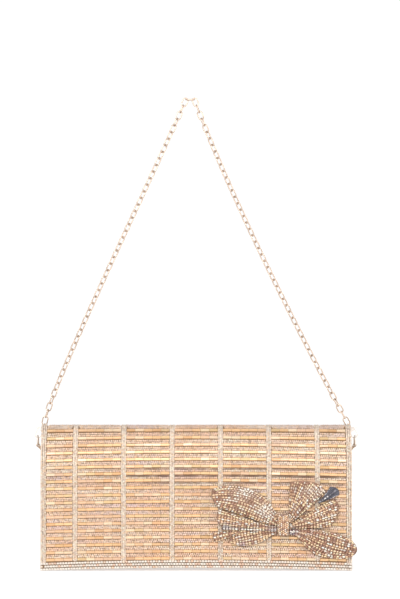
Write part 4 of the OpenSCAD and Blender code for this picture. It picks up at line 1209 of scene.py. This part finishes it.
def plumped(grid, pressure=4, frames=20):
    """The padded back's outer sheet, blown out from within by a cloth simulation: its border is pinned,
    gravity is off, and no point moves further than the padding allows."""
    m, n = grid.shape[:2]
    faces = grid_faces(m, n)
    middle = grid.reshape(-1, 3)[faces[len(faces) // 2]]
    if np.cross(middle[1] - middle[0], middle[3] - middle[0])[1] < 0:
        faces = faces[:, ::-1]
    piece = mesh_piece("back_blank", grid.reshape(-1, 3), faces)
    index = np.arange(m * n).reshape(m, n)
    border = np.setdiff1d(index.ravel(), index[1:-1, 1:-1].ravel())
    piece.vertex_groups.new(name="border").add([int(i) for i in border], 1.0, "REPLACE")
    cloth = piece.modifiers.new("swell", "CLOTH")
    cloth.settings.vertex_group_mass = "border"
    cloth.settings.use_pressure = True
    cloth.settings.uniform_pressure_force = pressure
    cloth.settings.effector_weights.gravity = 0
    cloth.settings.quality = 4
    cloth.collision_settings.use_collision = False
    scene = bpy.context.scene
    for step in range(1, frames + 1):
        scene.frame_set(step)
    mesh = piece.evaluated_get(bpy.context.evaluated_depsgraph_get()).to_mesh()
    found = np.zeros(m * n * 3, np.float32)
    mesh.vertices.foreach_get("co", found)
    moved = found.reshape(m, n, 3).astype(float) - grid
    size = np.linalg.norm(moved, axis=2, keepdims=True)
    scene.frame_set(1)
    bpy.data.objects.remove(piece)
    padding = settings("body").padding
    return grid + moved / np.maximum(size, 1e-9) * padding * np.tanh(size / padding)


def piping(side, name, radius=0.00055):
    """A thin roll along one edge of the body: from the mouth down the front, under the base and up the back."""
    s = settings("body")
    points, normals = section(body_arcs()["wrap"] + body_arcs()["back"][1:], 220)
    sunk = s.edge_radius * 0.3
    middle = points - normals * sunk
    path = np.column_stack([side * (half_at(middle[:, 1]) - sunk), middle])
    return tube(name, path, np.column_stack([0 * normals[:, :1], normals]), (radius, radius))


def outside_pieces():
    """The satin body: the front and base in one wrap, two gussets, the padded back, and piping along the
    edges."""
    s = settings("body")
    pieces = []
    outer, inner = skin("wrap", 90, 0), skin("wrap", 90, s.cover)
    wrap = cloth_shell("front_wrap", (outer, inner))
    declare(outer)
    pieces.append((wrap, "satin", ("front_panel", "base_panel")))
    for side, name in ((-1, "left_gusset"), (1, "right_gusset")):
        outer, inner = side_wall(side, s.edge_radius, 0.00005), side_wall(side, s.edge_radius, s.cover)
        wall = cloth_shell(name + "_satin", (outer, inner))
        declare(outer)
        pieces.append((wall, "satin", (name,)))
    outer, inner = skin("back", 49, 0, n=61), skin("back", 49, s.cover, n=61)
    pad = cloth_shell("back_pad", (plumped(outer), inner))
    smooth = pad.modifiers.new("smooth", "SUBSURF")
    smooth.levels = smooth.render_levels = 1
    pieces.append((pad, "satin", ("back_panel",)))
    for side, name in ((-1, "left"), (1, "right")):
        pieces.append((piping(side, name + "_piping"), "satin", ()))
    return pieces


# ---- Inside
def lining_pieces():
    """The lining: one loose wrap from the mouth down, under and up the back, and a side sheet in each
    gusset."""
    s = settings("body")
    deep, sag = s.lining_depth, {"ripple": 0.0007, "seed": 31}
    outer, inner = skin("inside", 110, deep, deep, **sag), skin("inside", 110, deep + s.lining, deep, **sag)
    wrap = cloth_shell("lining_wrap", (outer, inner))
    declare(outer)
    pieces = [(wrap, "lining", ("body_lining",))]
    behind = deep + 0.0009          # the side sheets lie behind the wrap's edges
    for side, name in ((-1, "left"), (1, "right")):
        outer, inner = side_wall(side, behind, deep - 0.0003), side_wall(side, behind, deep + 0.0002)
        wall = cloth_shell(name + "_lining_side", (outer, inner))
        declare(outer)
        pieces.append((wall, "lining", ()))
    return pieces


def pocket_pieces():
    """The slip pocket: a flat sheet on three sides, whose top edge gapes as (1 - v^2)^2 and dips a little, with
    a rolled hem and a row of stitches down each side and along the foot."""
    low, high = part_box("slip_pocket")
    gape, dip, thick, seam, proud = 0.0035, 0.0012, 0.00045, 0.0022, 0.0001
    y, half = (low.y + high.y) / 2 - ORIGIN[1], (high.x - low.x) / 2
    z0, z1 = low.z - ORIGIN[2], high.z - ORIGIN[2]
    u, v = lattice(np.linspace(0, 1, 31), np.linspace(-1, 1, 41))
    open_by = (1 - v ** 2) ** 2 * eased(u) * gape
    outer = np.stack([v * half, y - open_by, z0 + (z1 - z0) * u - dip * (1 - v ** 2) * u ** 3], -1)
    pocket = cloth_shell("pocket_sheet", (outer, outer + [0, thick, 0]))
    declare(outer)
    hem = tube("pocket_hem", outer[-1] + [0, 0.0002, -0.0003], [0, 0, 1], (0.0012, thick))
    down, along, up = outer[:0:-1, 0] + [seam, 0, 0], outer[0, 2:-2] + [0, 0, seam], outer[:, -1] - [seam, 0, 0]
    edge = np.concatenate([down, along, up])
    sewn = stitches("pocket_stitches", edge - [0, proud, 0], [0, -1, 0])
    return [(pocket, "lining", ("slip_pocket",)), (hem, "lining", ()), (sewn, "thread", ())]


def mouth_pieces():
    """The mouth's binding: a flat tube over the front's upper edge, with stitches under it."""
    low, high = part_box("mouth_binding")
    end_gap, dip = 0.0003, 0.0002
    v = np.linspace(-1, 1, 61)
    middle = (low + high) / 2 - Vector(ORIGIN)
    half = (high.x - low.x) / 2 - end_gap
    path = np.stack([v * half, np.full(61, middle.y), middle.z - dip * (1 - v ** 2)], 1)
    binding = tube("mouth_roll", path, [0, 1, 0], ((high.y - low.y) / 2, (high.z - low.z) / 2), 14)
    below = skin("wrap", 90, 0)[2, 4:-4]
    sewn = stitches("mouth_stitches", below, [0, -1, 0.15])
    return [(binding, "satin", ("mouth_binding",)), (sewn, "thread", ())]


def hinge_pieces():
    """The hinge: a strip of lining bent round the crest's centre, its radius stepping in from the back to the
    flap, with small tucks as a sine along it. It also gives a start and an end place beside the crest, between
    the bag and the flap."""
    low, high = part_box("hinge_tape")
    half = (high.x - low.x) / 2 - 0.0002
    crest = arcs()[0]
    outside, step_in, tuck, thick = 0.0029, 0.00135, 0.00008, 0.00045
    step_at, step_over = math.radians(70), math.radians(35)
    a = np.radians(np.linspace(15, 150, 31))[:, None]
    v = np.linspace(-1, 1, 121)[None]
    r = outside - step_in * eased((a - step_at) / step_over) - tuck * (1 + np.sin(260 * v)) * np.sin(2 * a) ** 2
    x = np.broadcast_to(v * half, r.shape)
    outer, inner = (np.stack([x, crest[0] + q * np.cos(a), crest[1] + q * np.sin(a)], -1)
                    for q in (r, r - thick))
    strip = cloth_shell("hinge_strip", (outer, inner))
    declare(outer)
    start, end = (row_frame([0, y, crest[1] + 0.002]) for y in (0.0012, -0.0012))
    return strip, start, end


def beside(line):
    """Unit normals to the right of a flat line."""
    slope = np.gradient(line, axis=0)
    return np.stack([slope[:, 1], -slope[:, 0]], 1) / np.linalg.norm(slope, axis=1, keepdims=True)


def tab_line(foot, bar, half_gap=0.00042, round_bar=0.00128):
    """The middle line of a tab's ribbon, as how far out and up: from the foot up the gusset, out to the ring's
    bar, round it and back down. Each ply runs beside one leaning line, then round the bar as an arc, and the
    whole is smoothed by a running mean of five."""
    rise = foot + np.array([[0, 0], [0, 0.003], [0, 0.0062], [0.0004, 0.0086]])
    lean = (bar - rise[-1]) / np.linalg.norm(bar - rise[-1])
    rise = np.concatenate([rise, [rise[-1] + lean * step for step in (0.0018, 0.0036)], [bar - lean * 0.0026]])
    right = beside(rise)
    start = math.atan2(-lean[0], lean[1])
    turn = np.linspace(start - 0.25, start + math.pi + 0.25, 24)
    loop = bar + round_bar * np.stack([np.cos(turn), np.sin(turn)], 1)
    line = np.concatenate([rise + right * half_gap, loop, (rise - right * half_gap)[::-1]])
    run = run_of(line)
    line = at_marks(np.linspace(0, run[-1], 110), run, line)
    line[2:-2] = sum(line[2 + k:len(line) - 2 + k] for k in (-2, -1, 0, 1, 2)) / 5
    return line


def box_stitch(side, foot, y0, y1, proud=0.00080):
    """The path of a box of stitches over a tab's foot, between two depths of the bag."""
    low, high = foot[1] + 0.0011, foot[1] + 0.0058
    corners = np.array([[y0, low], [y1, low], [y1, high], [y0, high], [y0, low]])
    run = run_of(corners)
    path = at_marks(np.linspace(0, run[-1], 60), run, corners)
    return np.column_stack([np.full(60, side * (foot[0] + proud)), path])


def tab_pieces():
    """The ring tabs: satin ribbons with their edges thinner than their middles, and the stitches at their
    feet."""
    pieces = []
    outer_half, inner_half, soft = 0.00024, 0.00034, 0.00012
    for side, node in ((-1, "left_ring_tab"), (1, "right_ring_tab")):
        low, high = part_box(node)
        foot = np.array([BODY_HALF + 0.0009, low.z - ORIGIN[2]])
        line = tab_line(foot, RING_BAR[side])
        out = beside(line)
        y = np.linspace(low.y - ORIGIN[1], high.y - ORIGIN[1], 9)
        full = soft * (1 - np.linspace(-1, 1, 9)[None] ** 2)[..., None]
        outer = line[:, None] + out[:, None] * (outer_half + full)
        inner = np.broadcast_to((line - out * inner_half)[:, None], outer.shape)
        grids = tuple(np.stack([side * g[..., 0], np.broadcast_to(y, g.shape[:2]), g[..., 1]], -1)
                      for g in (outer, inner))
        pieces.append((cloth_shell(node + "_ribbon", grids), "satin", (node,)))
        path = box_stitch(side, foot, y[1], y[-2])
        pieces.append((stitches(node + "_stitches", path, [side, 0, 0], 0.0014, 0.0010, 0.0003), "thread", ()))
    return pieces


# ---- Stage
def camera():
    """A level camera, square to the flap's face, whose lens takes in the span at the set distance."""
    st = settings("studio")
    data = bpy.data.cameras.new("camera")
    data.sensor_fit = "AUTO"
    data.sensor_width = st.sensor
    data.lens = st.sensor * st.distance / st.span
    data.clip_start, data.clip_end = 0.05, 20
    cam = bpy.data.objects.new("camera", data)
    bpy.context.scene.collection.objects.link(cam)
    cam.location = (st.aim_x, ORIGIN[1] + FRONT_Y - st.distance, st.aim_z)
    cam.rotation_euler = (math.pi / 2, 0, 0)
    bpy.context.scene.camera = cam
    bpy.context.view_layer.update()


def light(name, place, aim, size, power):
    """A rectangular area light at a place, turned to its aim."""
    data = bpy.data.lights.new(name, "AREA")
    data.shape = "RECTANGLE"
    data.size, data.size_y = size
    data.energy = power
    lamp = bpy.data.objects.new(name, data)
    bpy.context.scene.collection.objects.link(lamp)
    lamp.location = place
    lamp.rotation_mode = "QUATERNION"
    lamp.rotation_quaternion = (Vector(aim) - Vector(place)).to_track_quat("-Z", "Y")


def seen_directly(tree):
    """1 for camera, glossy and transmission rays, else 0: the largest of the three, by two Maximum nodes."""
    path = tree.nodes.new("ShaderNodeLightPath")
    both = joined(tree, "MAXIMUM", path.outputs["Is Camera Ray"], path.outputs["Is Glossy Ray"])
    return joined(tree, "MAXIMUM", both, path.outputs["Is Transmission Ray"])


def sweep():
    """Floor and backdrop in one sheet, just under the finished bag: flat to the turn, a quarter circle, then
    straight up. Its glow is what it adds for the rays that see it directly."""
    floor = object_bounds()[0].z - 0.0002
    y_turn, r, reach, tall, glow = 3.0, 1.5, 12.0, 6.0, 0.52
    t = np.linspace(-math.pi / 2, 0, 13)
    y = np.concatenate([[-reach], y_turn + r * np.cos(t), [y_turn + r]])
    z = np.concatenate([[floor], floor + r + r * np.sin(t), [floor + tall]])
    points = np.stack([np.tile([-reach, reach], len(y)), np.repeat(y, 2), np.repeat(z, 2)], 1)
    i = np.arange(len(y) - 1) * 2
    piece = mesh_piece("sweep", points, np.stack([i, i + 1, i + 3, i + 2], 1))
    mat, tree, shader = nodes_of("pale_paper")
    paper = ramp_between(tree, noise(tree, 3), (0.80, 0.80, 0.80), (0.86, 0.86, 0.86))
    link(tree, paper, shader.inputs["Base Color"])
    shader.inputs["Roughness"].default_value = 0.9
    link(tree, joined(tree, "MULTIPLY", seen_directly(tree), glow), shader.inputs["Emission Strength"])
    shader.inputs["Emission Color"].default_value = (1, 1, 1, 1)
    piece.data.materials.append(mat)
    piece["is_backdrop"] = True


def room():
    """A white world, full for rays that see it and at the fill's strength as light, a softbox and a side
    card."""
    st = settings("studio")
    scene = bpy.context.scene
    world = bpy.data.worlds.new("room")
    world.use_nodes = True
    tree = world.node_tree
    backing = tree.nodes["Background"]
    backing.inputs["Color"].default_value = (1, 1, 1, 1)
    level = tree.nodes.new("ShaderNodeMapRange")
    level.inputs["To Min"].default_value, level.inputs["To Max"].default_value = st.fill, 1.0
    link(tree, seen_directly(tree), level.inputs["Value"])
    link(tree, level.outputs["Result"], backing.inputs["Strength"])
    scene.world = world
    scene.view_settings.view_transform = "Standard"
    aim = row_frame([0, FRONT_Y, 0.06])
    light("softbox", place=(-0.25, -1.5, 0.38), aim=aim, size=(1.4, 0.7), power=st.key)
    light("side_card", place=(1.3, -0.9, 0.1), aim=aim, size=(0.5, 1.2), power=st.key * 0.2)


# ---- Image points
def project(points):
    """Pixels of points in the row's frame: the camera's axes, then x over depth times the lens."""
    cam = bpy.context.scene.camera
    inverse = np.array(cam.matrix_world.inverted())
    p = np.asarray(points) @ inverse[:3, :3].T + inverse[:3, 3]
    long_side = max(FRAME_W, FRAME_H)
    scale = cam.data.lens / cam.data.sensor_width * long_side
    x = p[:, 0] / -p[:, 2] * scale + FRAME_W / 2 - cam.data.shift_x * long_side
    y = FRAME_H / 2 - p[:, 1] / -p[:, 2] * scale + cam.data.shift_y * long_side
    return np.stack([x, y], 1)


MISSED = 100            # added to the distance of a ray that meets nothing, so that any hit wins


def under_point(name, carriers):
    """Where the ray through an image point meets the carriers, and the normal there. A miss takes the place on
    them that is nearest to the ray."""
    cam = bpy.context.scene.camera
    long_side = max(FRAME_W, FRAME_H)
    x, y = POINTS[name]
    ray = Vector((x - FRAME_W / 2 + cam.data.shift_x * long_side,
                  FRAME_H / 2 - y + cam.data.shift_y * long_side,
                  -long_side * cam.data.lens / cam.data.sensor_width))
    start = cam.matrix_world.translation
    ray = (cam.matrix_world.to_3x3() @ ray).normalized()
    depsgraph = bpy.context.evaluated_depsgraph_get()
    best = None
    for piece in carriers:
        tree = BVHTree.FromObject(piece, depsgraph)
        place, normal, _, reach = tree.ray_cast(start, ray)
        if place is None:
            nearest, normal, _, _ = tree.find_nearest(start + ray * settings("studio").distance)
            place, reach = nearest, MISSED + (nearest - start).cross(ray).length
        if best is None or reach < best[2]:
            best = (place, normal, reach)
    return np.array(best[0]), np.array(best[1])


# Painted highlights as patches of the palest beads: the beads that carry them, the radii of the patch in mm,
# and how many there are
GLINTS = {
    "left_glints": ("left_loop_upper_beads", (6.5, 3.0), 16),
    "lower_glints": ("left_loop_upper_beads", (4, 3.4), 12),
    "right_glints": ("right_loop_upper_beads", (3.2, 2.6), 9),
    "knot_glints": ("right_tail_beads", (3.2, 1.6), 7),
}


def glints(name):
    """A few pale beads over the bow where it shines most, their pale tone a painted highlight: seeded places in
    an ellipse round the image point, each dropped on the beads below it and turned along the slant of its
    string."""
    carrier, (rx, rz), count = GLINTS[name]
    before, within, proud = 0.05, 0.003, 0.0002
    rng = np.random.default_rng(500 + count)
    middle, _ = under_point(name, [bpy.data.objects[carrier]])
    turn, share = rng.random(count) * 2 * math.pi, np.sqrt(rng.random(count))
    x, z = middle[0] + rx * MM * share * np.cos(turn), middle[2] + rz * MM * share * np.sin(turn)
    tree = BVHTree.FromObject(bpy.data.objects[carrier], bpy.context.evaluated_depsgraph_get())
    hits = [tree.ray_cast(Vector((px, middle[1] - before, pz)), Vector((0, 1, 0)))[0] for px, pz in zip(x, z)]
    hits = [tuple(hit) for hit in hits if hit is not None and abs(hit.y - middle[1]) < within]
    if not hits:
        raise RuntimeError(f"{name}: no beads of {carrier} lie under its image point")
    at = np.array(hits) - ORIGIN - [0, proud, 0]
    n = len(at)
    along = np.column_stack([np.ones(n), np.zeros(n), rng.normal(-0.4, 0.3, n)])
    up = np.column_stack([rng.normal(0, 0.15, n), -np.ones(n), rng.normal(0.2, 0.15, n)])
    # painted highlight: near-white tones
    tones = tint((1.0, 0.95, 0.88), [((1.0, 0.80, 0.66), 0.6 * some(rng, n, 0.4))], np.ones(n))
    return strew(name + "_beads", SEED, at, along, up, np.tile([0.0017, 0.0016, 0.0013], (n, 1)), tones)


def pixels(*names):
    """Where the vertices of some pieces show in the frame."""
    found = []
    for name in names:
        mesh = bpy.data.objects[name].data
        points = np.zeros(len(mesh.vertices) * 3, np.float32)
        mesh.vertices.foreach_get("co", points)
        found.append(project(points.reshape(-1, 3)))
    return np.concatenate(found)


def offsets(near=8):
    """How far each named thing shows from its image point, in pixels: edges by their outermost vertices, the
    crest and the hem within a few pixels of their points, and small things by their middles."""
    face = pixels("side_border_beads", "hem_strands", "column_beads", "seed_band_1")
    columns, knot = pixels("column_beads"), pixels("knot_beads")

    def beside_point(shown, name):
        return shown[np.abs(shown[:, 0] - POINTS[name][0]) < near]

    def tip(piece, end):
        shown = pixels(piece)
        return tuple(shown[end(shown[:, 0])])

    found = {
        "left_edge": (face[:, 0].min(), None),
        "right_edge": (face[:, 0].max(), None),
        "crest": (None, beside_point(face, "crest")[:, 1].min()),
        "hem_middle": (None, beside_point(face, "hem_middle")[:, 1].max()),
        "strap_top": tuple(pixels("apex_link").mean(0)),
        "left_clasp": tuple(pixels("left_clasp").mean(0)),
        "right_clasp": tuple(pixels("right_clasp").mean(0)),
        "bow_knot": tuple((knot.min(0) + knot.max(0)) / 2),
        "first_column": (beside_point(columns, "first_column")[:, 0].mean(), None),
        "last_column": (beside_point(columns, "last_column")[:, 0].mean(), None),
        "left_loop_tip": tip("left_loop_upper_beads", np.argmin),
        "left_tail_tip": tip("left_tail_back_beads", np.argmin),
        "netting_tip": tip("net_right_cloth", np.argmax),
        "right_tail_tip": tip("right_tail_beads", np.argmax),
        **{name: tuple(pixels(name + "_beads").mean(0)) for name in GLINTS},
    }
    return {name: [None if g is None else round(float(g - w), 2) for g, w in zip(got, POINTS[name])]
            for name, got in found.items()}


# ---- Operators
CHAIN_NODES = ("apex_link", "left_links", "right_links", "left_jump_ring", "right_jump_ring")
CLASP_NODES = ("left_clasp", "right_clasp", "left_gate", "right_gate", "left_d_ring", "right_d_ring")
STEEL_NODES = ("left_gate_pin", "right_gate_pin", "left_gate_spring", "right_gate_spring", "body_magnet",
               "flap_magnet")
CARD_NODES = ("back_board", "front_board", "base_board", "flap_board")

# Each fabric's material and its slot in the record
FABRICS = {
    "satin": ("champagne_satin", "satin"),
    "lining": ("soft_lining", "lining"),
    "ground": ("bead_ground", "dark_satin"),
    "netting": ("dark_netting", "netting"),
    "ribbon": ("copper_netting", "beaded_ribbon"),
    "thread": ("satin_thread", "satin"),
}


def fabric(kind):
    """The material of a cloth or of the thread, made when it is first asked for."""
    f = settings("finish")
    name = FABRICS[kind][0]
    if name in bpy.data.materials:
        return bpy.data.materials[name]
    if kind == "thread":
        return thread_finish(name, (0.60, 0.43, 0.30))
    colour, look = {
        "satin": (f.satin, {"rough": 0.36, "sheen": 0.5, "thread": 0.00040, "long_float": 1.6,
                            "pucker": 0.00025, "lustre": 0.3}),
        "lining": ((0.55, 0.40, 0.28), {"rough": 0.45, "sheen": 0.4, "thread": 0.00038, "long_float": 1.3,
                                        "pucker": 0.0004, "lustre": 0.15}),
        "ground": (f.ground, {"rough": 0.6, "sheen": 0.2}),
        "netting": (f.net, {"rough": 0.6, "sheen": 0.4, "thread": 0.0007}),
        "ribbon": ((0.36, 0.20, 0.13), {"rough": 0.6, "sheen": 0.3, "thread": 0.0006}),
    }[kind]
    return cloth_finish(name, tuple(colour), **look)


def dress_all(pieces, body):
    """Dresses pieces that are given with their fabric and the nodes they stand for."""
    for piece, kind, nodes in pieces:
        dress(piece, fabric(kind), FABRICS[kind][1], body, *nodes)


class BAG_OT_stage(bpy.types.Operator):
    """Makes the camera, the room and the light"""
    bl_idname = "bag.stage"
    bl_label = "Stage"

    def execute(self, context):
        camera()
        room()
        return {"FINISHED"}


class BAG_OT_metal(bpy.types.Operator):
    """Gives the chain, the clasps, the rings, the magnets and the boards their materials"""
    bl_idname = "bag.metal"
    bl_label = "Metal and board"

    def execute(self, context):
        gold = metal_finish("rose_gold_plate", tuple(settings("finish").metal), 0.2)
        pale = metal_finish("pale_gold_plate", (0.90, 0.82, 0.75), 0.34)
        steel = metal_finish("bright_steel", (0.62, 0.62, 0.64), 0.3)
        card = card_finish("grey_card", (0.36, 0.30, 0.24))
        for nodes, mat in ((CHAIN_NODES, gold), (CLASP_NODES, pale), (STEEL_NODES, steel), (CARD_NODES, card)):
            for node in nodes:
                wear_node(node, mat)
        return {"FINISHED"}


class BAG_OT_flap(bpy.types.Operator):
    """Lays the flap's ground cloth and lining, and rolls its edge"""
    bl_idname = "bag.flap"
    bl_label = "Flap cloth"

    def execute(self, context):
        thick, inset = 0.0006, 0.0002                   # of the ground cloth
        lined_from, lined_to, lined_inset = 0.0022, 0.0028, 0.0006
        roll_depth, roll_inset, roll_radii = 0.0014, 0.0009, (0.0014, 0.0007)
        seam_inset, step = 0.0042, 0.001                # the step only gives a direction across the cloth
        ground = flap_grid(0, inset)
        cloth = cloth_shell("ground_cloth", (ground, flap_grid(thick, inset)))
        declare(ground)
        inner = flap_grid(lined_from, lined_inset)
        lining = cloth_shell("flap_lining_cloth", (inner, flap_grid(lined_to, lined_inset)))
        declare(inner)
        edge = flap_edge(roll_depth, roll_inset)
        normal = flap_edge(roll_depth - step, roll_inset) - edge
        normal /= np.linalg.norm(normal, axis=1, keepdims=True)
        roll = tube("flap_edging", edge, normal, roll_radii)
        seam = flap_edge(lined_to, seam_inset)
        sewn = stitches("flap_stitches", seam, flap_edge(lined_to + step, seam_inset) - seam)
        dress_all([(cloth, "ground", ("flap_ground",)), (lining, "lining", ("flap_lining",)),
                   (roll, "satin", ()), (sewn, "thread", ())], "flap")
        return {"FINISHED"}


class BAG_OT_beadwork(bpy.types.Operator):
    """Strews the flap's bugle and seed beads"""
    bl_idname = "bag.beadwork"
    bl_label = "Beadwork"

    def execute(self, context):
        b, f = settings("beads"), settings("finish")
        bugle_mat = bead_finish("gold_bugle_glass", 0.25, 0.38, 0.25)
        dress(bugle_beads(), bugle_mat, "gold_bugles", "flap", "bugle_rows")
        seed_mat = bead_finish("seed_glass", 0.1, 0.34, 0.35)
        for band in seed_bands():
            dress(band, seed_mat, "rose_seeds", "flap", "seed_rows")
        _, _, middles, half = panels()
        columns = herringbone("column_beads", middles, b.column_width, 3, b.hem_band, f.silver, 21)
        borders = herringbone("side_border_beads", [-(half + b.border_width / 2), half + b.border_width / 2],
                              b.border_width - 0.0003, 3, b.hem_band - 0.002, f.silver, 22)
        dress(columns, seed_mat, "silver_seeds", "flap", "pale_columns")
        dress(borders, seed_mat, "rose_seeds", "flap", "side_borders")
        dress(hem_strands(), seed_mat, "rose_seeds", "flap", "hem_border")
        return {"FINISHED"}


class BAG_OT_bow(bpy.types.Operator):
    """Folds the beaded bow, ties its knot and adds pale beads as painted highlights"""
    bl_idname = "bag.bow"
    bl_label = "Bow"

    def execute(self, context):
        bead_mat = bead_finish("copper_bead_glass", 0.35, 0.2, 0.6)
        u, v = lattice(np.linspace(0, 1, 45), np.linspace(0, 1, 25))    # as finely as fold_cloth has it
        for index, fold in enumerate(FOLDS):
            ribbon = fold_cloth(fold)
            node = next(n for key, n in FOLD_NODES.items() if fold.startswith(key))
            bare = fold == "net_right"
            dress(ribbon, fabric("netting" if bare else "ribbon"), "netting", "flap", node)
            declare(fold_point(fold, u, v))
            if fold.startswith("net"):
                dress(open_net(fold, 17 if bare else 33, 7), fabric("netting"), "netting", "flap")
            dress(fold_beads(fold, 300 + index * 7), bead_mat, "beaded_ribbon", "flap")
        dress(knot_cloth(), fabric("ribbon"), "netting", "flap", "bow_knot")
        dress(knot_beads(), bead_mat, "beaded_ribbon", "flap")
        for name in GLINTS:
            dress(glints(name), bead_mat, "beaded_ribbon", "flap")
        return {"FINISHED"}


class BAG_OT_body(bpy.types.Operator):
    """Covers the body in satin, pads its back and pipes its edges"""
    bl_idname = "bag.body"
    bl_label = "Body"

    def execute(self, context):
        dress_all(outside_pieces(), "bag")
        return {"FINISHED"}


class BAG_OT_inside(bpy.types.Operator):
    """Lines the bag, hangs its pocket, binds its mouth and joins the flap to it"""
    bl_idname = "bag.inside"
    bl_label = "Inside"

    def execute(self, context):
        dress_all(lining_pieces() + pocket_pieces() + mouth_pieces(), "bag")
        strip, start, end = hinge_pieces()
        dress_all([(strip, "lining", ("hinge_tape",))], None)
        tuple(start)
        tuple(end)
        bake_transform(strip)
        return {"FINISHED"}


class BAG_OT_tabs(bpy.types.Operator):
    """Folds the satin tabs round the two rings and sews them down"""
    bl_idname = "bag.tabs"
    bl_label = "Ring tabs"

    def execute(self, context):
        dress_all(tab_pieces(), "bag")
        return {"FINISHED"}


class BAG_PT_panel(bpy.types.Panel):
    """Lists the bag's operators and settings"""
    bl_label = "Evening Bag"
    bl_idname = "BAG_PT_panel"
    bl_space_type = "VIEW_3D"
    bl_region_type = "UI"
    bl_category = "Evening Bag"

    def draw(self, context):
        for operator in OPERATORS:
            self.layout.operator(operator.bl_idname)
        for group in GROUPS:
            box = self.layout.box()
            data = getattr(context.scene, group)
            for name in data.bl_rna.properties.keys():
                if name not in ("rna_type", "name"):
                    box.prop(data, name)


OPERATORS = (BAG_OT_stage, BAG_OT_metal, BAG_OT_flap, BAG_OT_beadwork, BAG_OT_bow, BAG_OT_body, BAG_OT_inside,
             BAG_OT_tabs)
GROUPS = {"bag_beads": BeadSettings, "bag_bow": BowSettings, "bag_body": BodySettings,
          "bag_finish": FinishSettings, "bag_studio": StudioSettings}


def register():
    """Registers the classes and hangs each group of settings on the scene."""
    for cls in (*GROUPS.values(), *OPERATORS, BAG_PT_panel):
        bpy.utils.register_class(cls)
    for name, group in GROUPS.items():
        setattr(bpy.types.Scene, name, PointerProperty(type=group))


def unregister():
    """Takes the settings off the scene and the classes out again."""
    for name in GROUPS:
        delattr(bpy.types.Scene, name)
    for cls in reversed((*GROUPS.values(), *OPERATORS, BAG_PT_panel)):
        bpy.utils.unregister_class(cls)


def main():
    """Builds the bag step by step, lays the floor under it and works out how it lies under the photograph."""
    register()
    bpy.ops.bag.stage()
    bpy.ops.bag.metal()
    bpy.ops.bag.flap()
    bpy.ops.bag.beadwork()
    bpy.ops.bag.bow()
    bpy.ops.bag.body()
    bpy.ops.bag.inside()
    bpy.ops.bag.tabs()
    sweep()
    offsets()


if __name__ == "__main__":
    main()
